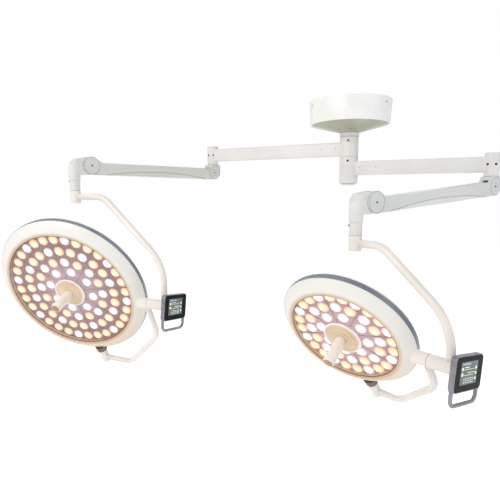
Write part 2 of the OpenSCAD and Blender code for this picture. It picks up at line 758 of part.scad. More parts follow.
// Control panel, drawn with its face on the XY plane and its back towards -Z
module panel_case(s) color(SILVER) at_panel(s) {
    difference() {
        translate([0, 0, -panel_t]) linear_extrude(height = panel_t) rounded([panel_w, panel_h], panel_corner);
        translate([0, 0, shell_t - panel_t]) linear_extrude(height = panel_t)
            rounded([panel_w - 2 * glass_margin, panel_h - 2 * glass_margin], panel_corner - glass_margin);
    }
    difference() {
        translate([0, 0, -panel_t]) linear_extrude(height = panel_t - glass_t)
            rounded([panel_w - glass_margin, panel_h - glass_margin], panel_corner - glass_margin / 2);
        translate([0, 0, shell_t - panel_t]) linear_extrude(height = panel_t)
            rounded([panel_w - 4 * glass_margin, panel_h - 4 * glass_margin], panel_corner - 2 * glass_margin);
    }
    translate([0, 0, -panel_t - 10.5]) cylinder(h = 10.5, r = panel_boss_r);
    translate([0, 0, -panel_t - 11 - panel_pin_len]) cylinder(h = panel_pin_len + 1, r = panel_pin_d / 2);
}

module panel_glass(s) color("#0b0d0c") at_panel(s) translate([0, 0, -glass_t]) linear_extrude(height = glass_t)
    rounded([panel_w - 2 * glass_margin, panel_h - 2 * glass_margin], panel_corner - glass_margin);

module panel_bail(s) color(SILVER) at_panel(s) translate([0, 0, -panel_t / 2]) difference() {
    union() {
        for (side = [-1, 1]) {
            translate([side * bail_x, bail_bend - bail_side, 0]) rotate([-90, 0, 0])
                cylinder(h = bail_side - bail_bend - panel_h / 2 + panel_corner, r = bail_rod_d / 2);
            translate([side * (bail_x - bail_bend), bail_bend - bail_side, 0])
                rotate([0, 0, side > 0 ? -90 : 180])
                rotate_extrude(angle = 90) translate([bail_bend, 0]) circle(bail_rod_d / 2);
        }
        translate([0, -bail_side, 0]) along_x(bail_bend - bail_x, bail_x - bail_bend, bail_rod_d / 2);
    }
    linear_extrude(height = panel_t, center = true) rounded([panel_w, panel_h], panel_corner);
}

// Inner arm: upper hub with its pin, bent tube and lower pivot hub
module inner_arm(s) color(WHITE) at_tilt(s) difference() {
    union() {
        along_x(head_r[s] + rim_gap, head_r[s] + rim_gap + inner_hub_len, axle_r);
        along_x(head_r[s] + rim_gap + 1, axle_from[s] + tilt_pin_len, tilt_pin_d / 2);
        rotate([90, 0, 0]) bent_bar([
            [inner_u[s], 3 - axle_r],
            [inner_u[s], -inner_run[s]],
            [inner_u[s] - (inner_low[s] - inner_run[s]) / tan(inner_slope), -inner_low[s]],
            [pivot_hub_d / 2 - 3, -inner_low[s]]
        ], [inner_bend, inner_bend], inner_tube_r);
        translate([0, 0, head_shift[s] - head_r[s] - pivot_gap - pivot_hub_len])
            cylinder(h = pivot_hub_len, r = pivot_hub_d / 2);
    }
    translate([0, 0, head_shift[s] - head_r[s] - pivot_gap - pivot_pin_len - pin_end_gap])
        cylinder(h = pivot_pin_len + pin_end_gap + 1, r = pivot_pin_d / 2 + run_fit);
}

// Light head, drawn with its light shining along +Z and its lower pivot along +Y
module pivot_boss(s) color(DARK) at_head(s) {
    difference() {
        translate([0, head_r[s] - 6, 0]) rotate([-90, 0, 0])
            cylinder(h = pivot_gap + 5, r1 = boss_r, r2 = boss_tip_r);
        translate([0, 0, -2 * boss_r]) cylinder(h = 4 * boss_r, r = head_r[s] + band_proud, $fn = 180);
    }
    translate([0, head_r[s] + pivot_gap - 4, 0]) rotate([-90, 0, 0])
        cylinder(h = pivot_pin_len + 4, r = pivot_pin_d / 2);
}

module rim_band(s) color(SLATE) at_head(s) rotate_extrude($fn = 180) polygon([
    [head_r[s] - shell_t - 0.5, rim_level],
    [head_r[s], rim_level],
    [head_r[s] + band_proud, rim_level - band_proud],
    [head_r[s] + band_proud, band_bottom + band_proud],
    [head_r[s], band_bottom],
    [head_r[s] - shell_t - 0.5, band_bottom]
]);

module rear_cover(s) color(WHITE) at_head(s) rotate_extrude($fn = 180) polygon(concat(
    [for (a = [0:15:90]) [head_r[s] - shoulder_w * (1 - cos(a)), band_bottom - shoulder_h * sin(a)]],
    [[0, band_bottom - shoulder_h - dome_h], [0, band_bottom - shoulder_h - dome_h + shell_t]],
    [for (a = [90:-15:0]) [head_r[s] - shell_t - (shoulder_w - shell_t) * (1 - cos(a)),
        band_bottom - (shoulder_h - shell_t) * sin(a)]]
));

module bezel(s) color(WHITE) at_head(s) rotate_extrude($fn = 180) polygon([
    [head_r[s], rim_level],
    [lens_r[s] + lip_w, lip_level],
    [lens_r[s], lens_level],
    [lens_r[s], lens_level - 0.5],
    [lens_r[s] + lens_seat, lens_level - 0.5],
    [lens_r[s] + lens_seat, plate_level - led_plate_t],
    [lens_r[s] + lens_seat + shell_t, plate_level - led_plate_t],
    [lens_r[s] + lens_seat + shell_t, lens_level - 2],
    [lens_r[s] + lip_w - 1, lip_level - shell_t - 0.5],
    [head_r[s] - shell_t - 1.5, rim_level]
]);

module lens_plate(s) color("#dfe6ea", 0.35) at_head(s) translate([0, 0, lens_back]) difference() {
    cylinder(h = lens_t, r = lens_r[s] + lens_seat, $fn = 180);
    translate([0, 0, -1]) cylinder(h = lens_t + 2, r = lens_hole_r);
}

module led_plate(s) color(PLATE_MAUVE) at_head(s) translate([0, 0, plate_level - led_plate_t])
    cylinder(h = led_plate_t, r = lens_r[s] + lens_seat, $fn = 180);

module led_lenses(s) color("#fff4dc") at_head(s) for (ring = rings[s])
    let (r = lens_r[s] - ring[0], n = ring[1])
    for (i = [0:n - 1]) rotate([0, 0, pattern_turn[s] + (i + 0.5) * 360 / n]) translate([r, 0, plate_level])
        cylinder(h = led_h, r1 = led_d / 2, r2 = led_d / 2 - led_taper, $fn = 32);

// Stepped disc in front of the lens, with the post that carries the handle
module handle_base(s) color(TAN) at_head(s) {
    translate([0, 0, plate_level]) cylinder(h = lens_level - plate_level, r = lens_hole_r);
    translate([0, 0, lens_level - 0.5]) cylinder(h = base_step + 0.5, r = base_r);
    translate([0, 0, lens_level]) cylinder(h = 2 * base_step, r = base_r * 0.72);
    translate([0, 0, lens_level]) cylinder(h = 3 * base_step - 1.5, r = base_r * 0.5);
    translate([0, 0, lens_level]) cylinder(h = 3 * base_step + post_len, r = post_d / 2);
}

module handle_sleeve(s) color("#efe2dc") at_head(s) difference() {
    translate([0, 0, handle_from]) cylinder(h = handle_len, r = handle_r);
    translate([0, 0, handle_from - 1]) cylinder(h = post_len + 3 * base_step, r = post_d / 2 + side_fit);
}

ceiling_plate();
spindle();
canopy();
power_supply();
spindle_bushes();
spindle_cap();
arm_hub(LEFT);  // left_arm_hub
arm_beam(LEFT);  // left_arm_beam
arm_knuckle(LEFT);  // left_arm_knuckle
arm_screws(LEFT);  // left_arm_screws
root_bracket(LEFT);  // left_root_bracket
root_pin(LEFT);  // left_root_pin
spring_cover(LEFT);  // left_spring_cover
spring_belly(LEFT);  // left_spring_belly
spring_core(LEFT);  // left_spring_core
coil_spring(LEFT);  // left_coil_spring
end_pin(LEFT);  // left_end_pin
end_bracket(LEFT);  // left_end_bracket
drop_tube(LEFT);  // left_drop_tube
yoke(LEFT);  // left_yoke
panel_case(LEFT);  // left_panel_case
panel_glass(LEFT);  // left_panel_glass
panel_bail(LEFT);  // left_panel_bail
inner_arm(LEFT);  // left_inner_arm
pivot_boss(LEFT);  // left_pivot_boss
rear_cover(LEFT);  // left_rear_cover
rim_band(LEFT);  // left_rim_band
bezel(LEFT);  // left_bezel
lens_plate(LEFT);  // left_lens_plate
led_plate(LEFT);  // left_led_plate
led_lenses(LEFT);  // left_led_lenses
handle_base(LEFT);  // left_handle_base
handle_sleeve(LEFT);  // left_handle_sleeve
arm_hub(RIGHT);  // right_arm_hub
arm_beam(RIGHT);  // right_arm_beam
arm_knuckle(RIGHT);  // right_arm_knuckle
arm_screws(RIGHT);  // right_arm_screws
root_bracket(RIGHT);  // right_root_bracket
root_pin(RIGHT);  // right_root_pin
spring_cover(RIGHT);  // right_spring_cover
spring_belly(RIGHT);  // right_spring_belly
spring_core(RIGHT);  // right_spring_core
coil_spring(RIGHT);  // right_coil_spring
end_pin(RIGHT);  // right_end_pin
end_bracket(RIGHT);  // right_end_bracket
drop_tube(RIGHT);  // right_drop_tube
yoke(RIGHT);  // right_yoke
panel_case(RIGHT);  // right_panel_case
panel_glass(RIGHT);  // right_panel_glass
panel_bail(RIGHT);  // right_panel_bail
inner_arm(RIGHT);  // right_inner_arm
pivot_boss(RIGHT);  // right_pivot_boss
rear_cover(RIGHT);  // right_rear_cover
rim_band(RIGHT);  // right_rim_band
bezel(RIGHT);  // right_bezel
lens_plate(RIGHT);  // right_lens_plate
led_plate(RIGHT);  // right_led_plate
led_lenses(RIGHT);  // right_led_lenses
handle_base(RIGHT);  // right_handle_base
handle_sleeve(RIGHT);  // right_handle_sleeve
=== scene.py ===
import json
import math

import bmesh
import bpy
from mathutils import Matrix, Vector

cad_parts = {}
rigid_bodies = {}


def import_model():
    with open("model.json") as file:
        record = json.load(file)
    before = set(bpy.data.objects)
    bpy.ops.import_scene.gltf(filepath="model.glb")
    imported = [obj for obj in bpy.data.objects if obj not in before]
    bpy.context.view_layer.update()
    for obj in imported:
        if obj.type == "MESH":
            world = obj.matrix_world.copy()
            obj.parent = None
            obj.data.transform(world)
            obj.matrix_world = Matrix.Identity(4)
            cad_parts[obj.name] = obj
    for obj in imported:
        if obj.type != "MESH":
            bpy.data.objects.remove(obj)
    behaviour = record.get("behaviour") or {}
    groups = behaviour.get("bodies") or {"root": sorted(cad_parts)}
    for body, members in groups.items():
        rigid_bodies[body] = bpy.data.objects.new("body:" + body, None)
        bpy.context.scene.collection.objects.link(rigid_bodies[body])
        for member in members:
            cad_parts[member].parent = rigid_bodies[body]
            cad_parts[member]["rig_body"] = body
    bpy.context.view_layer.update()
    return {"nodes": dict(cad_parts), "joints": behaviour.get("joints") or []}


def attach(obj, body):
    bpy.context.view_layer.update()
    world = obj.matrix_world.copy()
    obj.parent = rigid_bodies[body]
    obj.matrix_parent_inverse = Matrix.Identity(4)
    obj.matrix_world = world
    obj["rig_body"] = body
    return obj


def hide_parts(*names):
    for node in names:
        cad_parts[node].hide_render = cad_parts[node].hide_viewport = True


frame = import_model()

# ---------------------------------------------------------------- Room and camera
# A plain white studio with a pale floor, a broad key light high on the left, a weaker fill
# on the right, a back light, and a camera a little under the height of the arms.
scene = bpy.context.scene
scene.view_settings.view_transform = "Standard"


def linear(colour):
    """Turns an sRGB hex colour into linear red, green, blue and an alpha of 1."""
    parts = [int(colour[i:i + 2], 16) / 255 for i in (1, 3, 5)]
    return [p / 12.92 if p <= 0.04045 else ((p + 0.055) / 1.055) ** 2.4 for p in parts] + [1.0]


def add(tree, kind, inputs=None, **settings):
    """Adds one node, sets its properties, and sets or links its inputs."""
    node = tree.nodes.new(kind)
    for key, value in settings.items():
        setattr(node, key, value)
    for key, value in (inputs or {}).items():
        if isinstance(value, bpy.types.NodeSocket):
            tree.links.new(value, node.inputs[key])
        else:
            node.inputs[key].default_value = value
    return node


camera = bpy.data.objects.new("camera", bpy.data.cameras.new("camera"))
scene.collection.objects.link(camera)
camera.location = (-0.5153, -2.3600, -0.4829)
camera.rotation_euler = (math.radians(90 - 6.79), 0, 0)
camera.data.lens = 32.03
camera.data.sensor_width = 36
scene.camera = camera

world = bpy.data.worlds.new("white_studio")
world.use_nodes = True
world.node_tree.nodes.clear()
seen = add(world.node_tree, "ShaderNodeLightPath")
room_light, seen_white = 0.58, 1.0
strength = add(world.node_tree, "ShaderNodeMapRange", {
    "Value": seen.outputs["Is Camera Ray"], "To Min": room_light, "To Max": seen_white})
glow = add(world.node_tree, "ShaderNodeBackground", {
    "Color": linear("#ffffff"), "Strength": strength.outputs[0]})
add(world.node_tree, "ShaderNodeOutputWorld", {0: glow.outputs[0]})
scene.world = world

for name, spot, aim, size, power, tint in (
    ("key", (-3.4, -3.0, 1.6), (-0.4, 0.0, -0.8), 2.0, 78, "#fffaf2"),
    ("fill", (2.8, -2.6, -0.4), (-0.2, -0.3, -0.8), 2.6, 20, "#f4f7ff"),
    ("back", (0.6, 3.2, 0.6), (-0.5, 0.0, -0.6), 2.4, 24, "#ffffff"),
):
    lamp = bpy.data.objects.new(name, bpy.data.lights.new(name, "AREA"))
    scene.collection.objects.link(lamp)
    lamp.location = spot
    lamp.rotation_euler = (Vector(aim) - Vector(spot)).to_track_quat("-Z", "Y").to_euler()
    lamp.data.size = size
    lamp.data.energy = power
    lamp.data.color = linear(tint)[:3]

floor_level = -2.4
floor_half = 14.0
floor_mesh = bpy.data.meshes.new("floor")
floor_mesh.from_pydata(
    [(x * floor_half, y * floor_half, floor_level) for x, y in ((-1, -1), (1, -1), (1, 1), (-1, 1))],
    [], [(0, 1, 2, 3)])
floor = bpy.data.objects.new("floor", floor_mesh)
scene.collection.objects.link(floor)
pale_vinyl = bpy.data.materials.new("pale_vinyl_floor")
pale_vinyl.use_nodes = True
pale_vinyl.node_tree.nodes.clear()
where = add(pale_vinyl.node_tree, "ShaderNodeTexCoord")
mottle = add(pale_vinyl.node_tree, "ShaderNodeTexNoise", {"Vector": where.outputs["Object"], "Scale": 3.0})
shade = add(pale_vinyl.node_tree, "ShaderNodeValToRGB", {0: mottle.outputs["Fac"]})
shade.color_ramp.elements[0].color = linear("#fafaf9")
shade.color_ramp.elements[1].color = linear("#fdfdfc")
looked_at = add(pale_vinyl.node_tree, "ShaderNodeLightPath")
floor_glow, floor_seen_glow = 0.2, 0.6
lift_white = add(pale_vinyl.node_tree, "ShaderNodeMapRange", {
    "Value": looked_at.outputs["Is Camera Ray"], "To Min": floor_glow, "To Max": floor_seen_glow})
vinyl = add(pale_vinyl.node_tree, "ShaderNodeBsdfPrincipled", {
    "Base Color": shade.outputs[0], "Roughness": 0.6, "Emission Color": linear("#ffffff"),
    "Emission Strength": lift_white.outputs[0]})
add(pale_vinyl.node_tree, "ShaderNodeOutputMaterial", {0: vinyl.outputs[0]})
floor_mesh.materials.append(pale_vinyl)


# ---------------------------------------------------------------- Ceiling cover
# A spun and painted sheet cover with a conical underside hides the ceiling plate. Countersunk
# screws hold its wall to the plate and its underside to the spindle's collar.
MM = 0.001


def surface(name, dark, light, roughness, drift_mm=90.0, grain_mm=1.2, relief_mm=0.02, stretch=(1, 1, 1),
            **shader):
    """An opaque finish: two close shades in broad drifts, with a fine grain in its relief and gloss."""
    material = bpy.data.materials.new(name)
    material.use_nodes = True
    tree = material.node_tree
    tree.nodes.clear()
    place = add(tree, "ShaderNodeTexCoord")
    turned = add(tree, "ShaderNodeMapping", {"Vector": place.outputs["Object"], "Scale": stretch})
    drift = add(tree, "ShaderNodeTexNoise", {
        "Vector": turned.outputs[0], "Scale": 1000 / drift_mm, "Detail": 3.0, "Roughness": 0.45})
    shades = add(tree, "ShaderNodeValToRGB", {0: drift.outputs["Fac"]})
    shades.color_ramp.elements[0].position = 0.35
    shades.color_ramp.elements[1].position = 0.65
    shades.color_ramp.elements[0].color = linear(dark)
    shades.color_ramp.elements[1].color = linear(light)
    grain = add(tree, "ShaderNodeTexNoise", {
        "Vector": turned.outputs[0], "Scale": 1000 / grain_mm, "Detail": 2.0})
    gloss = add(tree, "ShaderNodeMapRange", {
        "Value": grain.outputs["Fac"], "To Min": roughness * 0.85, "To Max": roughness * 1.15})
    relief = add(tree, "ShaderNodeBump", {
        "Height": grain.outputs["Fac"], "Distance": relief_mm * MM, "Strength": 0.6})
    skin = add(tree, "ShaderNodeBsdfPrincipled", {
        "Base Color": shades.outputs[0], "Roughness": gloss.outputs[0],
        "Normal": relief.outputs[0], **shader})
    add(tree, "ShaderNodeOutputMaterial", {0: skin.outputs[0]})
    return material


def piece(name, mesh, material, body, stands_for=(), edge_mm=0.0, sharp=32):
    """Links a finished mesh, breaks its sharp edges, and makes it ride on its body."""
    thing = bpy.data.objects.new(name, mesh)
    scene.collection.objects.link(thing)
    mesh.materials.clear()
    mesh.materials.append(material)
    for face in mesh.polygons:
        face.use_smooth = True
    mesh.set_sharp_from_angle(angle=math.radians(sharp))
    if edge_mm:
        bevel = thing.modifiers.new("broken_edges", "BEVEL")
        bevel.width = edge_mm * MM
        bevel.segments = 2
        bevel.limit_method = "ANGLE"
        bevel.angle_limit = math.radians(sharp)
        bevel.harden_normals = True
    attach(thing, body)
    if stands_for:
        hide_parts(*stands_for)
    return thing


def finished(node, material, edge_mm=0.8, sharp=32):
    """A merged copy of a CAD node with smooth faces and broken edges, which stands for it."""
    source = frame["nodes"][node]
    mesh = bpy.data.meshes.new(node)
    work = bmesh.new()
    work.from_mesh(source.data)
    bmesh.ops.remove_doubles(work, verts=work.verts, dist=2e-6)
    bmesh.ops.dissolve_limit(work, angle_limit=math.radians(0.6), verts=work.verts, edges=work.edges)
    work.to_mesh(mesh)
    work.free()
    return piece(node + "_finish", mesh, material, source["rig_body"], [node], edge_mm, sharp)


def lathe(name, place, outline, steps=128):
    """A mesh turned round its place's Z axis from an outline of radius and height in millimetres.
    It keeps each point's distance from the axis, in millimetres, in an attribute."""
    work = bmesh.new()
    rings = []
    for r, z in outline:
        count = 1 if r < 1e-6 else steps
        rings.append([work.verts.new((r * math.cos(a), r * math.sin(a), z))
                      for a in (2 * math.pi * i / count for i in range(count))])
    closed = outline[0][0] > 1e-6
    pairs = list(zip(rings, rings[1:])) + ([(rings[-1], rings[0])] if closed else [])
    for a, b in pairs:
        for i in range(steps):
            k = (i + 1) % steps
            corners = [a[i % len(a)], a[k % len(a)], b[k % len(b)], b[i % len(b)]]
            corners = list(dict.fromkeys(corners))
            if len(corners) > 2:
                work.faces.new(corners)
    bmesh.ops.recalc_face_normals(work, faces=work.faces)
    mesh = bpy.data.meshes.new(name)
    work.to_mesh(mesh)
    work.free()
    reach = mesh.attributes.new("reach", "FLOAT", "POINT")
    reach.data.foreach_set("value", [math.hypot(v.co.x, v.co.y) for v in mesh.vertices])
    mesh.transform(place @ Matrix.Scale(MM, 4))
    return mesh


# Polyester powder coat on spun sheet: near white, satin, with a faint orange-peel texture
cover_coat = surface("powder_coat_on_spun_cover", "#f6f7f4", "#ffffff", 0.38, relief_mm=0.015,
                     grain_mm=1.6)
# The same coat on the underside, with painted shade: darker and khaki, for the shade of the room below
underside_painted_shade = surface("powder_coat_on_cover_underside_with_painted_shade", "#a8aa93", "#bebfaa", 0.3, drift_mm=160)

upright_axis = Matrix.Identity(4)
cover_r, cover_low_r, cover_h = 208.5, 198.5, 114.0
cone_low, cone_r, sheet = -154.0, 45.0, 2.5
wall_outline = [
    (cover_r, 0), (cover_low_r + 1.4, -cover_h + 2.5), (cover_low_r + 0.6, -cover_h + 0.8),
    (cover_low_r - 1.2, -cover_h), (cover_low_r - 4, -cover_h - 0.6), (cover_low_r - 4, -cover_h + 2),
    (cover_low_r - 2, -cover_h + 3), (cover_r - sheet, 0)]
cone_outline = [
    (cover_low_r - 4.2, -cover_h - 0.7), (120, -134.6), (cone_r + 8, -152), (cone_r, cone_low),
    (30.4, cone_low), (30.4, cone_low + sheet), (cone_r, cone_low + sheet), (cover_low_r - 4.2, -cover_h + 2)]
piece("ceiling_cover_wall", lathe("ceiling_cover_wall", upright_axis, wall_outline, 160),
      cover_coat, "ceiling", ["canopy"])
piece("ceiling_cover_underside", lathe("ceiling_cover_underside", upright_axis, cone_outline, 160),
      underside_painted_shade, "ceiling")


def screw_tree():
    """A Geometry Nodes tree that puts a socket screw on every point, along its facing."""
    tree = bpy.data.node_groups.new("socket_screws", "GeometryNodeTree")
    tree.interface.new_socket("Geometry", in_out="INPUT", socket_type="NodeSocketGeometry")
    tree.interface.new_socket("Geometry", in_out="OUTPUT", socket_type="NodeSocketGeometry")
    for word in ("Head radius", "Head height"):
        tree.interface.new_socket(word, in_out="INPUT", socket_type="NodeSocketFloat")
    tree.interface.new_socket("Finish", in_out="INPUT", socket_type="NodeSocketMaterial")
    given = add(tree, "NodeGroupInput")
    head = add(tree, "GeometryNodeMeshCylinder", {
        "Vertices": 18, "Radius": given.outputs["Head radius"], "Depth": given.outputs["Head height"]})
    rim = add(tree, "GeometryNodeExtrudeMesh", {
        "Mesh": head.outputs["Mesh"], "Selection": head.outputs["Top"], "Offset Scale": 0.0,
        "Individual": False})
    mouth = add(tree, "GeometryNodeScaleElements", {
        "Geometry": rim.outputs["Mesh"], "Selection": rim.outputs["Top"], "Scale": 0.55})
    socket_depth = -0.6  # as a share of the head's height
    depth = add(tree, "ShaderNodeMath", {0: given.outputs["Head height"], 1: socket_depth},
                operation="MULTIPLY")
    socket = add(tree, "GeometryNodeExtrudeMesh", {
        "Mesh": mouth.outputs["Geometry"], "Selection": rim.outputs["Top"],
        "Offset Scale": depth.outputs[0], "Individual": False})
    facing = add(tree, "GeometryNodeInputNamedAttribute", {"Name": "facing"}, data_type="FLOAT_VECTOR")
    turn = add(tree, "FunctionNodeAlignRotationToVector", {"Vector": facing.outputs["Attribute"]}, axis="Z")
    spread = add(tree, "GeometryNodeInstanceOnPoints", {
        "Points": given.outputs["Geometry"], "Instance": socket.outputs["Mesh"], "Rotation": turn.outputs[0]})
    real = add(tree, "GeometryNodeRealizeInstances", {"Geometry": spread.outputs[0]})
    dressed = add(tree, "GeometryNodeSetMaterial", {
        "Geometry": real.outputs[0], "Material": given.outputs["Finish"]})
    add(tree, "NodeGroupOutput", {"Geometry": dressed.outputs[0]})
    return tree


def scatter(name, tree, spots, sizes, material, body, stands_for=(), sharp=32):
    """Runs a tree on points in metres with their facings, and keeps the result as a plain mesh."""
    seeds = bpy.data.meshes.new(name + "_points")
    seeds.from_pydata([tuple(p) for p, _ in spots], [], [])
    facing = seeds.attributes.new("facing", "FLOAT_VECTOR", "POINT")
    facing.data.foreach_set("vector", [c for _, d in spots for c in d])
    host = bpy.data.objects.new(name + "_host", seeds)
    scene.collection.objects.link(host)
    maker = host.modifiers.new("maker", "NODES")
    maker.node_group = tree
    named = {item.name: item.identifier for item in tree.interface.items_tree if item.in_out == "INPUT"}
    for word, value in {**sizes, "Finish": material}.items():
        maker[named[word]] = value
    host.update_tag()
    graph = bpy.context.evaluated_depsgraph_get()
    mesh = bpy.data.meshes.new_from_object(host.evaluated_get(graph), depsgraph=graph)
    bpy.data.objects.remove(host)
    mesh.name = name
    return piece(name, mesh, material, body, stands_for, sharp=sharp)


# Black oxide on steel: soot black with a low oily sheen
black_oxide = surface("black_oxide_screw_steel", "#1d1c1b", "#2c2a28", 0.36, drift_mm=6, grain_mm=0.4,
                      Metallic=0.5)
# Zinc plate on steel, a pale bluish grey that shows a soft sheen
zinc_plate = surface("zinc_plated_screw_steel", "#8d9094", "#a3a6a8", 0.34, drift_mm=6, grain_mm=0.4,
                     Metallic=0.9)
screws = screw_tree()


def ring_spots(place, radius, height, angles, outward=0.0, rise=1.0):
    """Points round a place's Z axis in millimetres, with facings that lean outwards or along the axis."""
    spots = []
    for angle in angles:
        a = math.radians(angle)
        out = Vector((math.cos(a), math.sin(a), 0))
        facing = (place.to_3x3() @ (out * outward + Vector((0, 0, rise)))).normalized()
        spots.append((place @ ((out * radius + Vector((0, 0, height))) * MM), facing))
    return spots


side_screws = ring_spots(upright_axis, 206.6, -26, (-166, -46, 74), outward=1, rise=-0.09)
under_screws = ring_spots(upright_axis, 84, -144.2, (-143, -100, 37, 80), outward=0.2, rise=-1)
scatter("ceiling_cover_screws", screws, side_screws + under_screws,
        {"Head radius": 4.2 * MM, "Head height": 2.0 * MM}, zinc_plate, "ceiling")

# ---------------------------------------------------------------- Spindle and its bearings
# A turned steel tube hangs from a flange on the ceiling plate and carries both arm hubs on
# plain bushes. The power supply sits beside its flange, and a cap closes its lower end.
# Turned mild steel: cool grey with fine rings that catch the light
turned_steel = surface("turned_mild_steel", "#8b8e92", "#a6a9ad", 0.3, drift_mm=25, grain_mm=0.8,
                       stretch=(1, 1, 6), Metallic=1.0)
# Sintered bronze: warm brown with an open grain
sintered_bronze = surface("sintered_bronze_bush", "#8c6c45", "#a7855a", 0.5, drift_mm=12, grain_mm=0.6,
                          Metallic=0.85)
# Powder coat on aluminium castings: warm white, satin, slightly uneven
arm_coat = surface("powder_coat_on_aluminium", "#e4e3e1", "#ecebea", 0.34, drift_mm=140, grain_mm=1.4,
                   relief_mm=0.015)
# Nitrile rubber: a grey line round each joint
seal_rubber = surface("nitrile_rubber_seal", "#8a8580", "#9a958f", 0.7, drift_mm=10, grain_mm=0.5)

for node in ("ceiling_plate", "power_supply"):
    finished(node, turned_steel, 0.6)
tube = finished("spindle", turned_steel, 0.6)
tube.data.materials.append(arm_coat)
# Only the collar under the ceiling cover is painted
collar_top, collar_low, tube_r = -152.0, -176.0, 31.0
for face in tube.data.polygons:
    corners = [tube.data.vertices[i].co / MM for i in face.vertices]
    on_collar = all(collar_low < c.z < collar_top for c in corners)
    if on_collar and max(math.hypot(c.x, c.y) for c in corners) > tube_r:
        face.material_index = 1
finished("spindle_bushes", sintered_bronze, 0.4)
finished("spindle_cap", arm_coat, 1.2)


def ring(name, place, radius, height, body, thick=1.0, proud=0.3):
    """A thin rubber ring that closes the gap between two turning pieces."""
    outline = [(radius - 5, height), (radius + proud, height), (radius + proud, height + thick),
               (radius - 5, height + thick)]
    return piece(name, lathe(name, place, outline, 96), seal_rubber, body)


for name, radius, height in (
    ("collar_seal", 46.4, -175.9), ("hub_seal", 46.4, -277.9), ("cap_seal", 34.6, -412.9),
):
    ring(name, upright_axis, radius, height, "ceiling", 0.8)

# ---------------------------------------------------------------- Places on each light
# Every joint of a light gives the place and the directions of the pieces that hang on it.
joints = {j["name"]: j for j in frame["joints"]}
UP = Vector((0, 0, 1))


def place_at(origin, x, y, z):
    """A matrix in metres from an origin and three unit directions."""
    return Matrix.Translation(origin) @ Matrix((x, y, z)).transposed().to_4x4()


places = {}
panel_roll = math.radians(7.7)
for side in ("left", "right"):
    spot = {key: Vector(joints[f"{side}_{key}"]["pos_m"]) for key in (
        "arm_yaw", "spring_yaw", "spring_lift", "end_level", "yoke_yaw", "tilt", "head_turn", "panel_swivel")}
    along = (spot["spring_yaw"] - spot["arm_yaw"]).normalized()
    across = -Vector(joints[f"{side}_spring_lift"]["axis"])
    level = across.cross(UP)
    sloped = (spot["end_level"] - spot["spring_lift"]).normalized()
    tilt_axis = Vector(joints[f"{side}_tilt"]["axis"])
    sideways = UP.cross(tilt_axis)
    down_arm = Vector(joints[f"{side}_head_turn"]["axis"])
    beam_dir = Vector(joints[f"{side}_handle_pull"]["axis"])
    face_up = UP * math.cos(panel_roll) + sideways * math.sin(panel_roll)
    places[side] = {
        "hub": place_at(spot["arm_yaw"], along, UP.cross(along), UP),
        "knuckle": place_at(spot["spring_yaw"], along, UP.cross(along), UP),
        "root": place_at(spot["spring_lift"], level, across, UP),
        "spring": place_at(spot["spring_lift"], sloped, across, sloped.cross(across)),
        "end": place_at(spot["end_level"], level, across, UP),
        "seam": place_at(spot["yoke_yaw"], tilt_axis, sideways, UP),
        "axle": place_at(spot["tilt"], tilt_axis, sideways, UP),
        "inner": place_at(spot["tilt"], tilt_axis, (-down_arm).cross(tilt_axis), -down_arm),
        "head": place_at(spot["head_turn"], down_arm.cross(beam_dir), down_arm, beam_dir),
        "panel": place_at(spot["panel_swivel"], face_up.cross(tilt_axis), face_up, tilt_axis),
    }

# ---------------------------------------------------------------- Hubs, beams and knuckles
# Each hub turns on the spindle. A square-cornered aluminium tube is welded between it and the
# knuckle, and socket screws in the hub and the knuckle set the friction of the joints.
hub_tops = {"left": -176.0, "right": -278.0}
screw_turn = {"left": 97.0, "right": -83.0}  # degrees from the beam's direction
knuckle_turn = {"left": 98.0, "right": -92.0}
front_side = {"left": 1, "right": -1}
screw_drop, screw_spread = 20, 31
hub_screw_r, knuckle_screw_r = 47.3, 32.3
plug_places, plug_height, beam_half_width = (65, 144), 4, 25.2
for side, at in places.items():
    body = side + "_arm"
    for node in ("arm_hub", "arm_beam", "arm_knuckle"):
        finished(f"{side}_{node}", arm_coat, 1.0)
    beam_z = at["hub"].translation.z / MM
    hub_screw = ring_spots(
        at["hub"], hub_screw_r, hub_tops[side] - screw_drop - beam_z, (screw_turn[side],), 1, 0)
    knuckle_angles = (knuckle_turn[side] - screw_spread, knuckle_turn[side] + screw_spread)
    knuckle_spots = ring_spots(at["knuckle"], knuckle_screw_r, 0, knuckle_angles, 1, 0)
    scatter(side + "_friction_screws", screws, hub_screw + knuckle_spots,
            {"Head radius": 5.0 * MM, "Head height": 2.4 * MM}, black_oxide, body,
            [side + "_arm_screws"])
    plug_facing = at["hub"].to_3x3() @ Vector((0, front_side[side], 0))
    plugs = [(at["hub"] @ (Vector((x, front_side[side] * beam_half_width, plug_height)) * MM), plug_facing)
             for x in plug_places]
    scatter(side + "_beam_plugs", screws, plugs, {"Head radius": 2.6 * MM, "Head height": 1.0 * MM},
            zinc_plate, body)
    ring(side + "_knuckle_seal", at["knuckle"], 31.6, -53.9, body, 0.9)

# ---------------------------------------------------------------- Spring arms
# A moulded cover in two tones hides a steel tube with the balance spring. Its root turns in a
# fork under the knuckle, and a disc at its far end turns beside the drop bracket.
root_disc_r, end_disc_r, cover_width, end_disc_width = 40.0, 41.0, 62.0, 62.8
arm_len, arch_top, arch_rise, arch_half = 786.0, -16.0, 24.0, 323.0
cover_shades = {"left": ("#d8d9d1", "#e3e4de"), "right": ("#d7dadb", "#e6e8e8")}
belly_shades = {"left": ("#e0e0da", "#eaeae6"), "right": ("#e3e5e6", "#eff0f1")}
# Drawn spring steel with an oil film
spring_steel = surface("oiled_spring_steel", "#6e7278", "#868a90", 0.32, drift_mm=15, grain_mm=0.6,
                       Metallic=1.0)


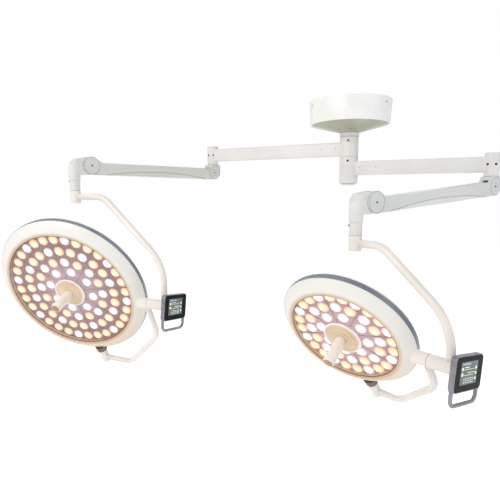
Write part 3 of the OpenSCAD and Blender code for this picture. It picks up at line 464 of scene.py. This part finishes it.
def disc_line(side, end, part, reach, half_width, across, body):
    """A thin dark ring let into both faces of the pivot disc at one end of a spring arm."""
    sunk, proud = 0.4, 0.05
    line = [(reach - half_width, across / 2 - sunk), (reach - half_width, across / 2 + proud),
            (reach + half_width, across / 2 + proud), (reach + half_width, across / 2 - sunk)]
    for word, turn in (("near", 90), ("far", 270)):
        name = f"{side}_{end}_disc_{part}_line_{word}"
        facing = places[side][end] @ Matrix.Rotation(math.radians(turn), 4, "X")
        piece(name, lathe(name, facing, line, 72), seal_rubber, body)


def belly_line(name, place, face, body, steps=40):
    """A thin parting line along the arch between a cover and its belly, on one side of the arm."""
    sunk, proud, half_height = 0.6, 0.15, 0.8
    arch_r = (arch_half * arch_half + arch_rise * arch_rise) / (2 * arch_rise)
    low_y, high_y = cover_width / 2 - sunk, cover_width / 2 + proud
    section = ((low_y, -half_height), (high_y, -half_height), (high_y, half_height), (low_y, half_height))
    work = bmesh.new()
    rings = []
    for i in range(steps + 1):
        x = arch_half * (2 * i / steps - 1)
        z = arch_top - (arch_r - math.sqrt(arch_r * arch_r - x * x))
        rings.append([work.verts.new((arm_len / 2 + x, face * y, z + dz)) for y, dz in section])
    for a, b in zip(rings, rings[1:]):
        for i in range(4):
            work.faces.new((a[i], a[(i + 1) % 4], b[(i + 1) % 4], b[i]))
    work.faces.new(rings[0])
    work.faces.new(rings[-1])
    bmesh.ops.recalc_face_normals(work, faces=work.faces)
    mesh = bpy.data.meshes.new(name)
    work.to_mesh(mesh)
    work.free()
    mesh.transform(place @ Matrix.Scale(MM, 4))
    piece(name, mesh, seal_rubber, body)


for side, at in places.items():
    # ABS, moulded with a fine spark texture, which spreads its highlights
    cover_abs = surface(side + "_moulded_abs_cover", *cover_shades[side], 0.42, drift_mm=260, grain_mm=0.9,
                        relief_mm=0.02, stretch=(0.4, 0.4, 1))
    belly_abs = surface(side + "_moulded_abs_belly", *belly_shades[side], 0.38, drift_mm=260, grain_mm=0.9)
    finished(side + "_root_bracket", cover_abs, 1.0)
    finished(side + "_spring_cover", cover_abs, 1.4)
    finished(side + "_spring_belly", belly_abs, 0.8)
    finished(side + "_spring_core", turned_steel, 0.5)
    finished(side + "_coil_spring", spring_steel, 0, 60)
    for node in ("root_pin", "end_pin"):
        finished(f"{side}_{node}", black_oxide, 0.4)
    disc_line(side, "root", "outer", root_disc_r - 1.6, 0.9, cover_width, side + "_root")
    disc_line(side, "root", "inner", 17.0, 0.8, cover_width, side + "_root")
    disc_line(side, "end", "outer", end_disc_r - 1.6, 0.9, end_disc_width, side + "_spring_arm")
    for word, face in (("near", -1), ("far", 1)):
        belly_line(f"{side}_belly_line_{word}", at["spring"], face, side + "_spring_arm")

# ---------------------------------------------------------------- Drop brackets and collars
# A cast bracket turns on the end pin and stays upright. A turned collar under it carries the
# yoke, and a set screw locks the collar's friction.
collar_r = 25.0
collar_screw_lift = {"left": 42, "right": 35}
for side, at in places.items():
    finished(side + "_end_bracket", arm_coat, 1.2)
    finished(side + "_drop_tube", arm_coat, 0.6)
    facing = Matrix.Rotation(math.radians(-177), 3, "Z") @ Vector((1, 0, 0))
    seat = at["seam"].translation + (facing * collar_r + UP * collar_screw_lift[side]) * MM
    scatter(side + "_collar_screw", screws, [(seat, facing)],
            {"Head radius": 3.4 * MM, "Head height": 2.0 * MM}, black_oxide, side + "_end")

# ---------------------------------------------------------------- Yokes and inner arms
# The yoke is a bent and welded tube from the collar to the tilt axle. The inner arm hangs on
# the axle and bends in under the head to its lower pivot.
# Powder coat, with a cream tone painted in for the warm light of the heads that falls on it
yoke_coat_with_painted_warm_light = surface("powder_coat_with_painted_warm_light_on_steel_tube", "#f0e9e3", "#f7f2ed", 0.34, drift_mm=180,
                    grain_mm=1.4, relief_mm=0.015)
head_r = {"left": 360.0, "right": 260.0}
axle_seal_reach = 67.1  # past the head's rim
for side, at in places.items():
    finished(side + "_yoke", yoke_coat_with_painted_warm_light, 0)
    finished(side + "_inner_arm", yoke_coat_with_painted_warm_light, 0)
    ring(side + "_yoke_seal", at["seam"], 22.6, -0.9, side + "_yoke", 0.8)
    axle_seat = at["axle"] @ Matrix.Rotation(math.radians(90), 4, "Y")
    ring(side + "_axle_seal", axle_seat, 22.4, head_r[side] + axle_seal_reach, side + "_inner", 1.3, 0.5)

# ---------------------------------------------------------------- Control panels
# A silver case with a bail handle ends the tilt axle. A black glass covers its face, with a lit
# display of plain bars and marks behind it.
# Metallic lacquer on a die-cast case: cool grey with a fine sparkle
case_lacquer = surface("metallic_lacquer_on_die_casting", "#8f8c96", "#a8a5ae", 0.3, drift_mm=30,
                       grain_mm=0.5, Metallic=0.55)
# Black-backed toughened glass, very smooth
black_glass = surface("black_backed_touch_glass", "#040505", "#080909", 0.12, drift_mm=60, grain_mm=4,
                      relief_mm=0.001, **{"Specular IOR Level": 0.12})


def lit(name, colour, edge_colour, strength):
    """A backlit print behind glass: it glows a little unevenly."""
    material = bpy.data.materials.new(name)
    material.use_nodes = True
    tree = material.node_tree
    tree.nodes.clear()
    place = add(tree, "ShaderNodeTexCoord")
    cloud = add(tree, "ShaderNodeTexNoise", {"Vector": place.outputs["Object"], "Scale": 35.0})
    shades = add(tree, "ShaderNodeValToRGB", {0: cloud.outputs["Fac"]})
    shades.color_ramp.elements[0].position = 0.3
    shades.color_ramp.elements[1].position = 0.7
    shades.color_ramp.elements[0].color = linear(edge_colour)
    shades.color_ramp.elements[1].color = linear(colour)
    skin = add(tree, "ShaderNodeBsdfPrincipled", {
        "Base Color": shades.outputs[0], "Roughness": 0.25, "Emission Color": shades.outputs[0],
        "Emission Strength": strength})
    add(tree, "ShaderNodeOutputMaterial", {0: skin.outputs[0]})
    return material


# A backlit liquid crystal display: grey green, with off-white, pale yellow and pale blue marks
display_glow = lit("backlit_display", "#65726d", "#4e5b57", 0.42)
mark_glow = lit("display_white_marks", "#e2e8e6", "#cdd6d4", 0.6)
slider_glow = lit("display_slider", "#d8d8b0", "#c6c69a", 0.6)
blue_glow = lit("display_blue_marks", "#b4c8dc", "#9db6cc", 0.6)


def tiles(name, place, boxes, height, thick, corner=0.8):
    """Thin plates with cut corners on a face, each from its centre, width and height in millimetres."""
    work = bmesh.new()
    for cx, cy, w, h in boxes:
        c = min(corner, w / 3, h / 3)
        outline = [(-w / 2 + c, -h / 2), (w / 2 - c, -h / 2), (w / 2, -h / 2 + c), (w / 2, h / 2 - c),
                   (w / 2 - c, h / 2), (-w / 2 + c, h / 2), (-w / 2, h / 2 - c), (-w / 2, -h / 2 + c)]
        low = [work.verts.new((cx + x, cy + y, height)) for x, y in outline]
        high = [work.verts.new((cx + x, cy + y, height + thick)) for x, y in outline]
        work.faces.new(low[::-1])
        work.faces.new(high)
        for i in range(8):
            k = (i + 1) % 8
            work.faces.new((low[i], low[k], high[k], high[i]))
    mesh = bpy.data.meshes.new(name)
    work.to_mesh(mesh)
    work.free()
    mesh.transform(place @ Matrix.Scale(MM, 4))
    return mesh


# Each mark is its middle across and up from the middle of the panel, its width and its height
screen = [(-1, 2, 94, 68)]
top_row = [(-39 + 5.2 * i, 29, 3.6, 4.2) for i in range(9)]
icons = [(-38, y, 9, 9) for y in (15, -1)] + [(37, y, 8, 8) for y in (15, -1, -17)]
dashes = [(-26 + 9.5 * i, y, 6.4, 2.0) for y in (-14, -20, -26) for i in range(6)]
labels = [(-14, 19, 26, 2.2), (10, 3, 40, 2.0)]
slider_bars = [(-3, 13, 54, 1.8), (-3, -4, 54, 1.8)]
for side, at in places.items():
    body = side + "_panel"
    face = at["panel"]
    finished(side + "_panel_case", case_lacquer, 1.2)
    finished(side + "_panel_bail", case_lacquer, 0)
    finished(side + "_panel_glass", black_glass, 0.4)
    piece(side + "_display", tiles(side + "_display", face, screen, -0.35, 0.5, 2.0), display_glow,
          body, sharp=20)
    for name, boxes, glow_kind in (
        ("marks", icons + dashes + labels, mark_glow),
        ("status_row", top_row, blue_glow),
        ("sliders", slider_bars, slider_glow),
    ):
        piece(f"{side}_display_{name}", tiles(f"{side}_display_{name}", face, boxes, 0.1, 0.3), glow_kind,
              body, sharp=20)

# ---------------------------------------------------------------- Head shells
# A spun rear cover, a gloss band round the rim and a moulded front ring close each head. The
# ring is off-white outside and turns to tan at its lip beside the lens.
lens_r = {"left": 297.0, "right": 202.0}


def by_reach(name, stops, roughness, glow_stops=None, relief_mm=0.015, warm=None, wander_mm=8.0):
    """A finish whose colour, and glow if asked for, follow the distance from the head's middle. If asked, it
    also paints warm light on it, stronger lower down.
    """
    material = bpy.data.materials.new(name)
    material.use_nodes = True
    tree = material.node_tree
    tree.nodes.clear()
    far = stops[-1][0]
    reach = add(tree, "ShaderNodeAttribute", attribute_name="reach")
    place = add(tree, "ShaderNodeTexCoord")
    drift = add(tree, "ShaderNodeTexNoise", {
        "Vector": place.outputs["Object"], "Scale": 12.0, "Detail": 3.0})
    shift = add(tree, "ShaderNodeMath", {0: drift.outputs["Fac"], 1: wander_mm, 2: -wander_mm / 2},
                operation="MULTIPLY_ADD")
    moved = add(tree, "ShaderNodeMath", {0: reach.outputs["Fac"], 1: shift.outputs[0]}, operation="ADD")
    share = add(tree, "ShaderNodeMath", {0: moved.outputs[0], 1: far}, operation="DIVIDE")

    def ramp(marks):
        node = add(tree, "ShaderNodeValToRGB", {0: share.outputs[0]})
        band = node.color_ramp
        while len(band.elements) < len(marks):
            band.elements.new(0.5)
        for element, (where, colour) in zip(band.elements, marks):
            element.position = where / far
            element.color = linear(colour)
        return node

    colour = ramp(stops).outputs[0]
    # Painted warm light: the colour is multiplied towards a warm tint, more strongly lower down
    if warm:
        low, high, tint = warm
        parts = add(tree, "ShaderNodeSeparateXYZ", {0: place.outputs["Object"]})
        drop = add(tree, "ShaderNodeMapRange", {
            "Value": parts.outputs["Z"], "From Min": high, "From Max": low, "To Min": 0.0, "To Max": 0.85},
            interpolation_type="SMOOTHSTEP")
        # On a colour mix, inputs 6 and 7 are its two colours, and output 2 is its result
        mix = add(tree, "ShaderNodeMix", data_type="RGBA", blend_type="MULTIPLY")
        tree.links.new(drop.outputs[0], mix.inputs["Factor"])
        tree.links.new(colour, mix.inputs[6])
        mix.inputs[7].default_value = linear(tint)
        colour = mix.outputs[2]
    grain = add(tree, "ShaderNodeTexNoise", {"Vector": place.outputs["Object"], "Scale": 900.0})
    gloss = add(tree, "ShaderNodeMapRange", {
        "Value": grain.outputs["Fac"], "To Min": roughness * 0.85, "To Max": roughness * 1.15})
    relief = add(tree, "ShaderNodeBump", {"Height": grain.outputs["Fac"], "Distance": relief_mm * MM})
    inputs = {"Base Color": colour, "Roughness": gloss.outputs[0], "Normal": relief.outputs[0]}
    if glow_stops:
        inputs["Emission Color"] = ramp(glow_stops).outputs[0]
        inputs["Emission Strength"] = 1.0
    skin = add(tree, "ShaderNodeBsdfPrincipled", inputs)
    add(tree, "ShaderNodeOutputMaterial", {0: skin.outputs[0]})
    return material


# Gloss polycarbonate band in slate grey
slate_band = surface("gloss_slate_polycarbonate", "#727888", "#8b909f", 0.2, drift_mm=120, grain_mm=2.0,
                     relief_mm=0.004, **{"Coat Weight": 0.3})
# Polyester powder coat on the spun rear cover, a little warmer than the ceiling cover
rear_coat = surface("powder_coat_on_spun_rear_cover", "#efece6", "#f6f4ef", 0.36, drift_mm=200,
                    grain_mm=1.5)
front_level, lip_level, rim_level = 40.0, 43.0, 12.0
band_bottom, band_proud, shell = -9.0, 1.5, 3.0
shoulder_h, shoulder_w, dome_h = 28.0, 70.0, 8.0
lip_width, slope_crown = 17, 3.2
pivot_seal_reach = 28.6  # past the head's rim
for side, at in places.items():
    body = side + "_head"
    big, inner = head_r[side], lens_r[side]
    middle = at["head"].translation.z
    span = big * MM
    # Moulded polycarbonate ring: satin off-white, tan at the lip, with painted warm light low down
    # where the yellow lights catch it
    ring_finish = by_reach(
        side + "_moulded_front_ring",
        [(inner + 2.2, "#6a4c42"), (inner + 3.8, "#d3bba2"), (inner + 9, "#dec9b2"),
         (inner + 14.5, "#e8d6c2"), (inner + 18, "#f1ebe4"), (inner + 24, "#f4f2ef"),
         (big - 8, "#f3f2ee"), (big + 2, "#ecebe7")],
        0.3, warm=(middle - 0.9 * span, middle + 0.1 * span, "#f9e6d4"), wander_mm=1.2)
    slope = [(big - (big - inner - lip_width) * t,
              rim_level + (lip_level - rim_level) * t + slope_crown * math.sin(math.pi * t))
             for t in (0, 0.06, 0.2, 0.35, 0.5, 0.65, 0.8, 0.92)]
    lip = [(inner + 14, lip_level), (inner + 9, lip_level - 0.2), (inner + 3, front_level + 1.0),
           (inner + 0.4, front_level + 0.1), (inner, front_level - 0.5)]
    hidden = [(inner + 4, front_level - 0.5), (inner + 4, 19.5), (inner + 7, 19.5),
              (inner + 7, front_level - 2), (inner + 16, lip_level - 3.5), (big - 4.5, rim_level)]
    piece(side + "_front_ring", lathe(side + "_front_ring", at["head"], slope + lip + hidden, 180),
          ring_finish, body, [side + "_bezel"], sharp=40)
    band = [(big - 3.5, rim_level - 0.1), (big - 0.2, rim_level - 0.1), (big + 1.2, rim_level - 1.0),
            (big + band_proud, rim_level - 3), (big + band_proud, band_bottom + 3),
            (big + 1.2, band_bottom + 1), (big, band_bottom), (big - 3.5, band_bottom)]
    piece(side + "_rim_trim", lathe(side + "_rim_trim", at["head"], band, 180), slate_band, body,
          [side + "_rim_band"], sharp=40)
    turns = [math.radians(a) for a in range(0, 91, 10)]
    outside = [(big - shoulder_w * (1 - math.cos(a)), band_bottom - shoulder_h * math.sin(a))
               for a in turns]
    inside = [(big - shell - (shoulder_w - shell) * (1 - math.cos(a)),
               band_bottom - (shoulder_h - shell) * math.sin(a)) for a in reversed(turns)]
    crown = band_bottom - shoulder_h - dome_h
    middle_out = [(big * 0.6, crown + 3.6), (big * 0.3, crown + 0.9), (0, crown)]
    middle_in = [(0, crown + shell), (big * 0.3, crown + shell + 0.9), (big * 0.6, crown + shell + 3.6)]
    piece(side + "_rear_shell",
          lathe(side + "_rear_shell", at["head"], outside + middle_out + middle_in + inside, 180), rear_coat,
          body, [side + "_rear_cover"], sharp=40)
    scatter(side + "_rear_screws", screws,
            ring_spots(at["head"], big - 30, band_bottom - 24.4, range(15, 375, 45), 0.45, -1),
            {"Head radius": 4.6 * MM, "Head height": 2.6 * MM}, zinc_plate, body)
    # Cast and lacquered boss: warm brown grey
    boss_lacquer = surface(side + "_cast_pivot_boss", "#6a5650", "#84706a", 0.4, drift_mm=20)
    finished(side + "_pivot_boss", boss_lacquer, 0.8)
    seat = at["inner"] @ Matrix.Translation(
        ((at["inner"].inverted() @ at["head"].translation) - Vector((0, 0, (big + pivot_seal_reach) * MM))))
    ring(side + "_pivot_seal", seat, 20.0, -1.0, side + "_inner", 1.6, 0.6)

# ---------------------------------------------------------------- Light plates and light lenses
# A moulded carrier plate holds the lights in rings, in eight sectors with fine seams between
# them. Each light has a domed lens. Each ring repeats its own row of warm (y) and cool (w) lights.
ring_sets = {
    "left": ((273.0, 32, "yywy"), (213.0, 24, "wyy"), (156.0, 16, "yw"), (105.0, 8, "w")),
    "right": ((184.5, 24, "wyy"), (137.0, 16, "yw"), (90.5, 8, "w")),
}
pattern_turn = {"left": 1.0, "right": 3.0}
plate_level = 23.5
seam_start, seam_width, seam_thick = 61, 1.8, 1.6


def light_tree():
    """A Geometry Nodes tree that puts a low dome on every point and keeps how far out each of
    its points lies, from 0 in the middle to 1 at its rim."""
    tree = bpy.data.node_groups.new("domed_lenses", "GeometryNodeTree")
    tree.interface.new_socket("Geometry", in_out="INPUT", socket_type="NodeSocketGeometry")
    tree.interface.new_socket("Geometry", in_out="OUTPUT", socket_type="NodeSocketGeometry")
    for word in ("Radius", "Rise"):
        tree.interface.new_socket(word, in_out="INPUT", socket_type="NodeSocketFloat")
    tree.interface.new_socket("Finish", in_out="INPUT", socket_type="NodeSocketMaterial")
    given = add(tree, "NodeGroupInput")
    ball = add(tree, "GeometryNodeMeshUVSphere", {"Segments": 20, "Rings": 10, "Radius": 1.0})
    spot = add(tree, "GeometryNodeInputPosition")
    parts = add(tree, "ShaderNodeSeparateXYZ", {0: spot.outputs[0]})
    flat = add(tree, "ShaderNodeCombineXYZ", {"X": parts.outputs["X"], "Y": parts.outputs["Y"]})
    out = add(tree, "ShaderNodeVectorMath", {0: flat.outputs[0]}, operation="LENGTH")
    kept = add(tree, "GeometryNodeStoreNamedAttribute", {
        "Geometry": ball.outputs["Mesh"], "Name": "rim", "Value": out.outputs["Value"]})
    above = add(tree, "ShaderNodeMath", {0: parts.outputs["Z"], 1: 0.0}, operation="MAXIMUM")
    lengths = []
    for part, share in (
        (parts.outputs["X"], "Radius"), (parts.outputs["Y"], "Radius"), (above.outputs[0], "Rise"),
    ):
        scaled = add(tree, "ShaderNodeMath", {0: part, 1: given.outputs[share]}, operation="MULTIPLY")
        lengths.append(scaled.outputs[0])
    new_spot = add(tree, "ShaderNodeCombineXYZ", dict(enumerate(lengths)))
    dome = add(tree, "GeometryNodeSetPosition", {
        "Geometry": kept.outputs[0], "Position": new_spot.outputs[0]})
    facing = add(tree, "GeometryNodeInputNamedAttribute", {"Name": "facing"}, data_type="FLOAT_VECTOR")
    turn = add(tree, "FunctionNodeAlignRotationToVector", {"Vector": facing.outputs["Attribute"]}, axis="Z")
    spread = add(tree, "GeometryNodeInstanceOnPoints", {
        "Points": given.outputs["Geometry"], "Instance": dome.outputs[0], "Rotation": turn.outputs[0]})
    real = add(tree, "GeometryNodeRealizeInstances", {"Geometry": spread.outputs[0]})
    dressed = add(tree, "GeometryNodeSetMaterial", {
        "Geometry": real.outputs[0], "Material": given.outputs["Finish"]})
    add(tree, "NodeGroupOutput", {"Geometry": dressed.outputs[0]})
    return tree


def lens_light(name, stops, strength):
    """A moulded acrylic lens over a lit diode: brightest in the middle, coloured at its rim."""
    material = bpy.data.materials.new(name)
    material.use_nodes = True
    tree = material.node_tree
    tree.nodes.clear()
    rim = add(tree, "ShaderNodeAttribute", attribute_name="rim")
    place = add(tree, "ShaderNodeTexCoord")
    cell = add(tree, "ShaderNodeTexVoronoi", {"Vector": place.outputs["Object"], "Scale": 160.0})
    shades = add(tree, "ShaderNodeValToRGB", {0: rim.outputs["Fac"]})
    band = shades.color_ramp
    while len(band.elements) < len(stops):
        band.elements.new(0.5)
    for element, (where, colour) in zip(band.elements, stops):
        element.position = where
        element.color = linear(colour)
    facet = add(tree, "ShaderNodeBump", {
        "Height": cell.outputs["Distance"], "Distance": 0.25 * MM, "Strength": 0.4})
    skin = add(tree, "ShaderNodeBsdfPrincipled", {
        "Base Color": linear("#b8b0a8"), "Roughness": 0.12, "IOR": 1.49, "Normal": facet.outputs[0],
        "Emission Color": shades.outputs[0], "Emission Strength": strength})
    add(tree, "ShaderNodeOutputMaterial", {0: skin.outputs[0]})
    return material


domes = light_tree()
lens_size = {"Radius": 18.6 * MM, "Rise": 9.5 * MM}
painted_halo_size = {"Radius": 23.5 * MM, "Rise": 1.6 * MM}
lens_kinds = {
    "y": ("warm", lens_light("warm_diode_lens", [
        (0.0, "#fffde4"), (0.35, "#fff4bc"), (0.7, "#ffe48c"), (0.9, "#f9c87c"), (1.0, "#e99c66")], 0.9)),
    "w": ("cool", lens_light("cool_diode_lens", [
        (0.0, "#ffffff"), (0.6, "#ffffff"), (0.88, "#f4effb"), (1.0, "#d9cfe6")], 1.1)),
}
# The seats are low domes round each lens that glow orange or lilac: a painted halo of each diode's light on
# the plate, not a lamp of their own
painted_halo_finishes = {
    "y": lens_light("warm_lens_seat_painted_halo", [
        (0.0, "#f29a62"), (0.8, "#f08a50"), (0.92, "#d07048"), (1.0, "#86503f")], 0.8),
    "w": lens_light("cool_lens_seat_painted_halo", [
        (0.0, "#efe6f6"), (0.8, "#c9b4cc"), (0.92, "#a58aa0"), (1.0, "#84687a")], 0.6),
}
# Shades of the carrier plate and of the painted glow of stray light on it, from its middle outwards
plate_shades = {
    "left": ("#a08890", "#987a84", "#7c5254", "#743e38", "#783828"),
    "right": ("#b89ca0", "#b4929a", "#a47678", "#985f58", "#945040"),
}
plate_painted_stray_light = {
    "left": ("#8d7c88", "#7c626c", "#5a3836", "#401c18", "#461a12"),
    "right": ("#a08c92", "#8e757c", "#785457", "#5e3632", "#5c3026"),
}
for side, at in places.items():
    body = side + "_head"
    inner = lens_r[side]
    plate_stops = (0, inner * 0.32, inner * 0.55, inner * 0.8, inner + 4)
    # Moulded and painted carrier plate: mauve brown, redder outside, with painted stray light that
    # turns it lilac towards the middle and makes it glow
    plate_finish = by_reach(
        side + "_light_carrier_plate",
        list(zip(plate_stops, plate_shades[side])), 0.32, list(zip(plate_stops, plate_painted_stray_light[side])))
    plate_outline = [(0, plate_level), (inner * 0.3, plate_level), (inner * 0.6, plate_level),
                     (inner + 3.9, plate_level), (inner + 3.9, plate_level - 4), (0, plate_level - 4)]
    piece(side + "_carrier_plate", lathe(side + "_carrier_plate", at["head"], plate_outline, 128),
          plate_finish, body, [side + "_led_plate"])
    spots = {"y": [], "w": []}
    for radius, count, order in ring_sets[side]:
        for i in range(count):
            angle = pattern_turn[side] + (i + 0.5) * 360 / count
            spots[order[i % len(order)]] += ring_spots(at["head"], radius, plate_level, (angle,))
    for kind, (word, glass) in lens_kinds.items():
        stands_for = [side + "_led_lenses"] if kind == "w" else []
        scatter(f"{side}_{word}_lenses", domes, spots[kind], lens_size, glass, body,
                stands_for, sharp=80)
        scatter(f"{side}_{word}_lens_seats", domes, spots[kind], painted_halo_size, painted_halo_finishes[kind], body,
                sharp=80)
    seam_end = inner - 1
    work = bmesh.new()
    for i in range(8):
        turn = math.radians(pattern_turn[side] + 45 * i)
        made = bmesh.ops.create_cube(work, size=1.0)["verts"]
        bmesh.ops.transform(work, verts=made, matrix=(
            Matrix.Rotation(turn, 4, "Z")
            @ Matrix.Translation(((seam_start + seam_end) / 2, 0, plate_level + 0.4))
            @ Matrix.Diagonal((seam_end - seam_start, seam_width, seam_thick, 1))))
    seam_mesh = bpy.data.meshes.new(side + "_sector_seams")
    work.to_mesh(seam_mesh)
    work.free()
    seam_mesh.transform(at["head"] @ Matrix.Scale(MM, 4))
    # Painted edges of the sectors, a darker mauve than the plate
    seam_paint = surface(side + "_sector_seam_trim", "#5e444c", "#6f545e", 0.4, drift_mm=30)
    piece(side + "_sector_seams", seam_mesh, seam_paint, body)

# ---------------------------------------------------------------- Lens plates
# One clear polycarbonate disc covers the lights. Its edge sits under the front ring's lip.
# Clear polycarbonate: it shows the lights through a faint sheen
clear_plate = surface("clear_polycarbonate", "#f2f4f8", "#f8f9fc", 0.08, drift_mm=200, grain_mm=6,
                      relief_mm=0.001, IOR=1.58, Alpha=0.1)
for side, at in places.items():
    finished(side + "_lens_plate", clear_plate, 0)

# ---------------------------------------------------------------- Handle discs and handles
# A stepped tan disc with a white edge closes the middle of the lens. Its post carries the
# handle, a heat-proof sleeve that comes off to be sterilised.
# Moulded polyphenylsulfone: warm tan, satin, a little translucent
tan_polymer = surface("tan_moulded_polymer", "#e0c8aa", "#ebd6bc", 0.32, drift_mm=60, grain_mm=1.0,
                      **{"Subsurface Weight": 0.1, "Subsurface Radius": (0.004, 0.002, 0.001)})
# The same polymer in white round the disc's edge
white_edge = surface("white_moulded_edge_ring", "#fbf8f4", "#fffefc", 0.28, drift_mm=60)
# Heat-proof silicone-coated sleeve: pinkish white and satin, with fine grooves along it
sleeve_polymer = surface("autoclavable_handle_polymer", "#f8ebe3", "#fff8f4", 0.36, drift_mm=30,
                         grain_mm=0.9)
# The cap in the handle's end: a browner tan
cap_polymer = surface("tan_handle_end_cap", "#b89262", "#c8a476", 0.36, drift_mm=20)
disc_outline = [
    (0, 51.2), (20, 51.0), (34, 50.6), (36.5, 49.8), (36.9, 48.2), (50, 47.9), (52, 47.0), (52.6, 44.4),
    (66, 44.0), (67.5, 42.5), (67.5, 39.6), (39.6, 39.6), (39.6, 24), (0, 24)]
edge_outline = [(66.5, 40), (73, 40), (73, 43.2), (71.5, 44.6), (68.5, 45), (66.5, 44)]
post_outline = [(0, 122), (9, 122), (10, 121), (10, 50.5), (0, 50.5)]
sleeve_outline = [
    (10.3, 51.4), (19.8, 51.4), (21, 53), (21, 92), (20.4, 98), (21, 104), (21, 159), (19.6, 162),
    (17.6, 162.9), (17.6, 124), (10.3, 123)]
cap_outline = [(0, 162.6), (15.6, 162.6), (17.6, 161.2), (17.6, 125), (0, 125)]
flute_depth, flute_count, fluted_from = 0.35 * MM, 12, 19.5 * MM
for side, at in places.items():
    body = side + "_head"
    for name, outline, steps, finish, slot, stands_for in (
        ("_stepped_disc", disc_outline, 96, tan_polymer, "tan_base", [side + "_handle_base"]),
        ("_disc_edge_ring", edge_outline, 96, white_edge, "white_paint", []),
        ("_handle_post", post_outline, 48, turned_steel, "steel", []),
    ):
        piece(side + name, lathe(side + name, at["head"], outline, steps), finish, body, stands_for,
              sharp=40)
    grip = lathe(side + "_grip", at["head"], sleeve_outline, 72)
    centre, axis = at["head"].translation, at["head"].to_3x3() @ Vector((0, 0, 1))
    cross = at["head"].to_3x3() @ Vector((1, 0, 0))
    for vertex in grip.vertices:
        off = vertex.co - centre
        out = off - axis * off.dot(axis)
        if out.length > fluted_from:
            turn = math.atan2(cross.cross(out).dot(axis), out.dot(cross))
            vertex.co -= out.normalized() * flute_depth * (0.5 - 0.5 * math.cos(flute_count * turn))
    piece(side + "_grip", grip, sleeve_polymer, side + "_sleeve", [side + "_handle_sleeve"],
          sharp=50)
    piece(side + "_grip_end_cap", lathe(side + "_grip_end_cap", at["head"], cap_outline, 48), cap_polymer,
          side + "_sleeve", sharp=40)
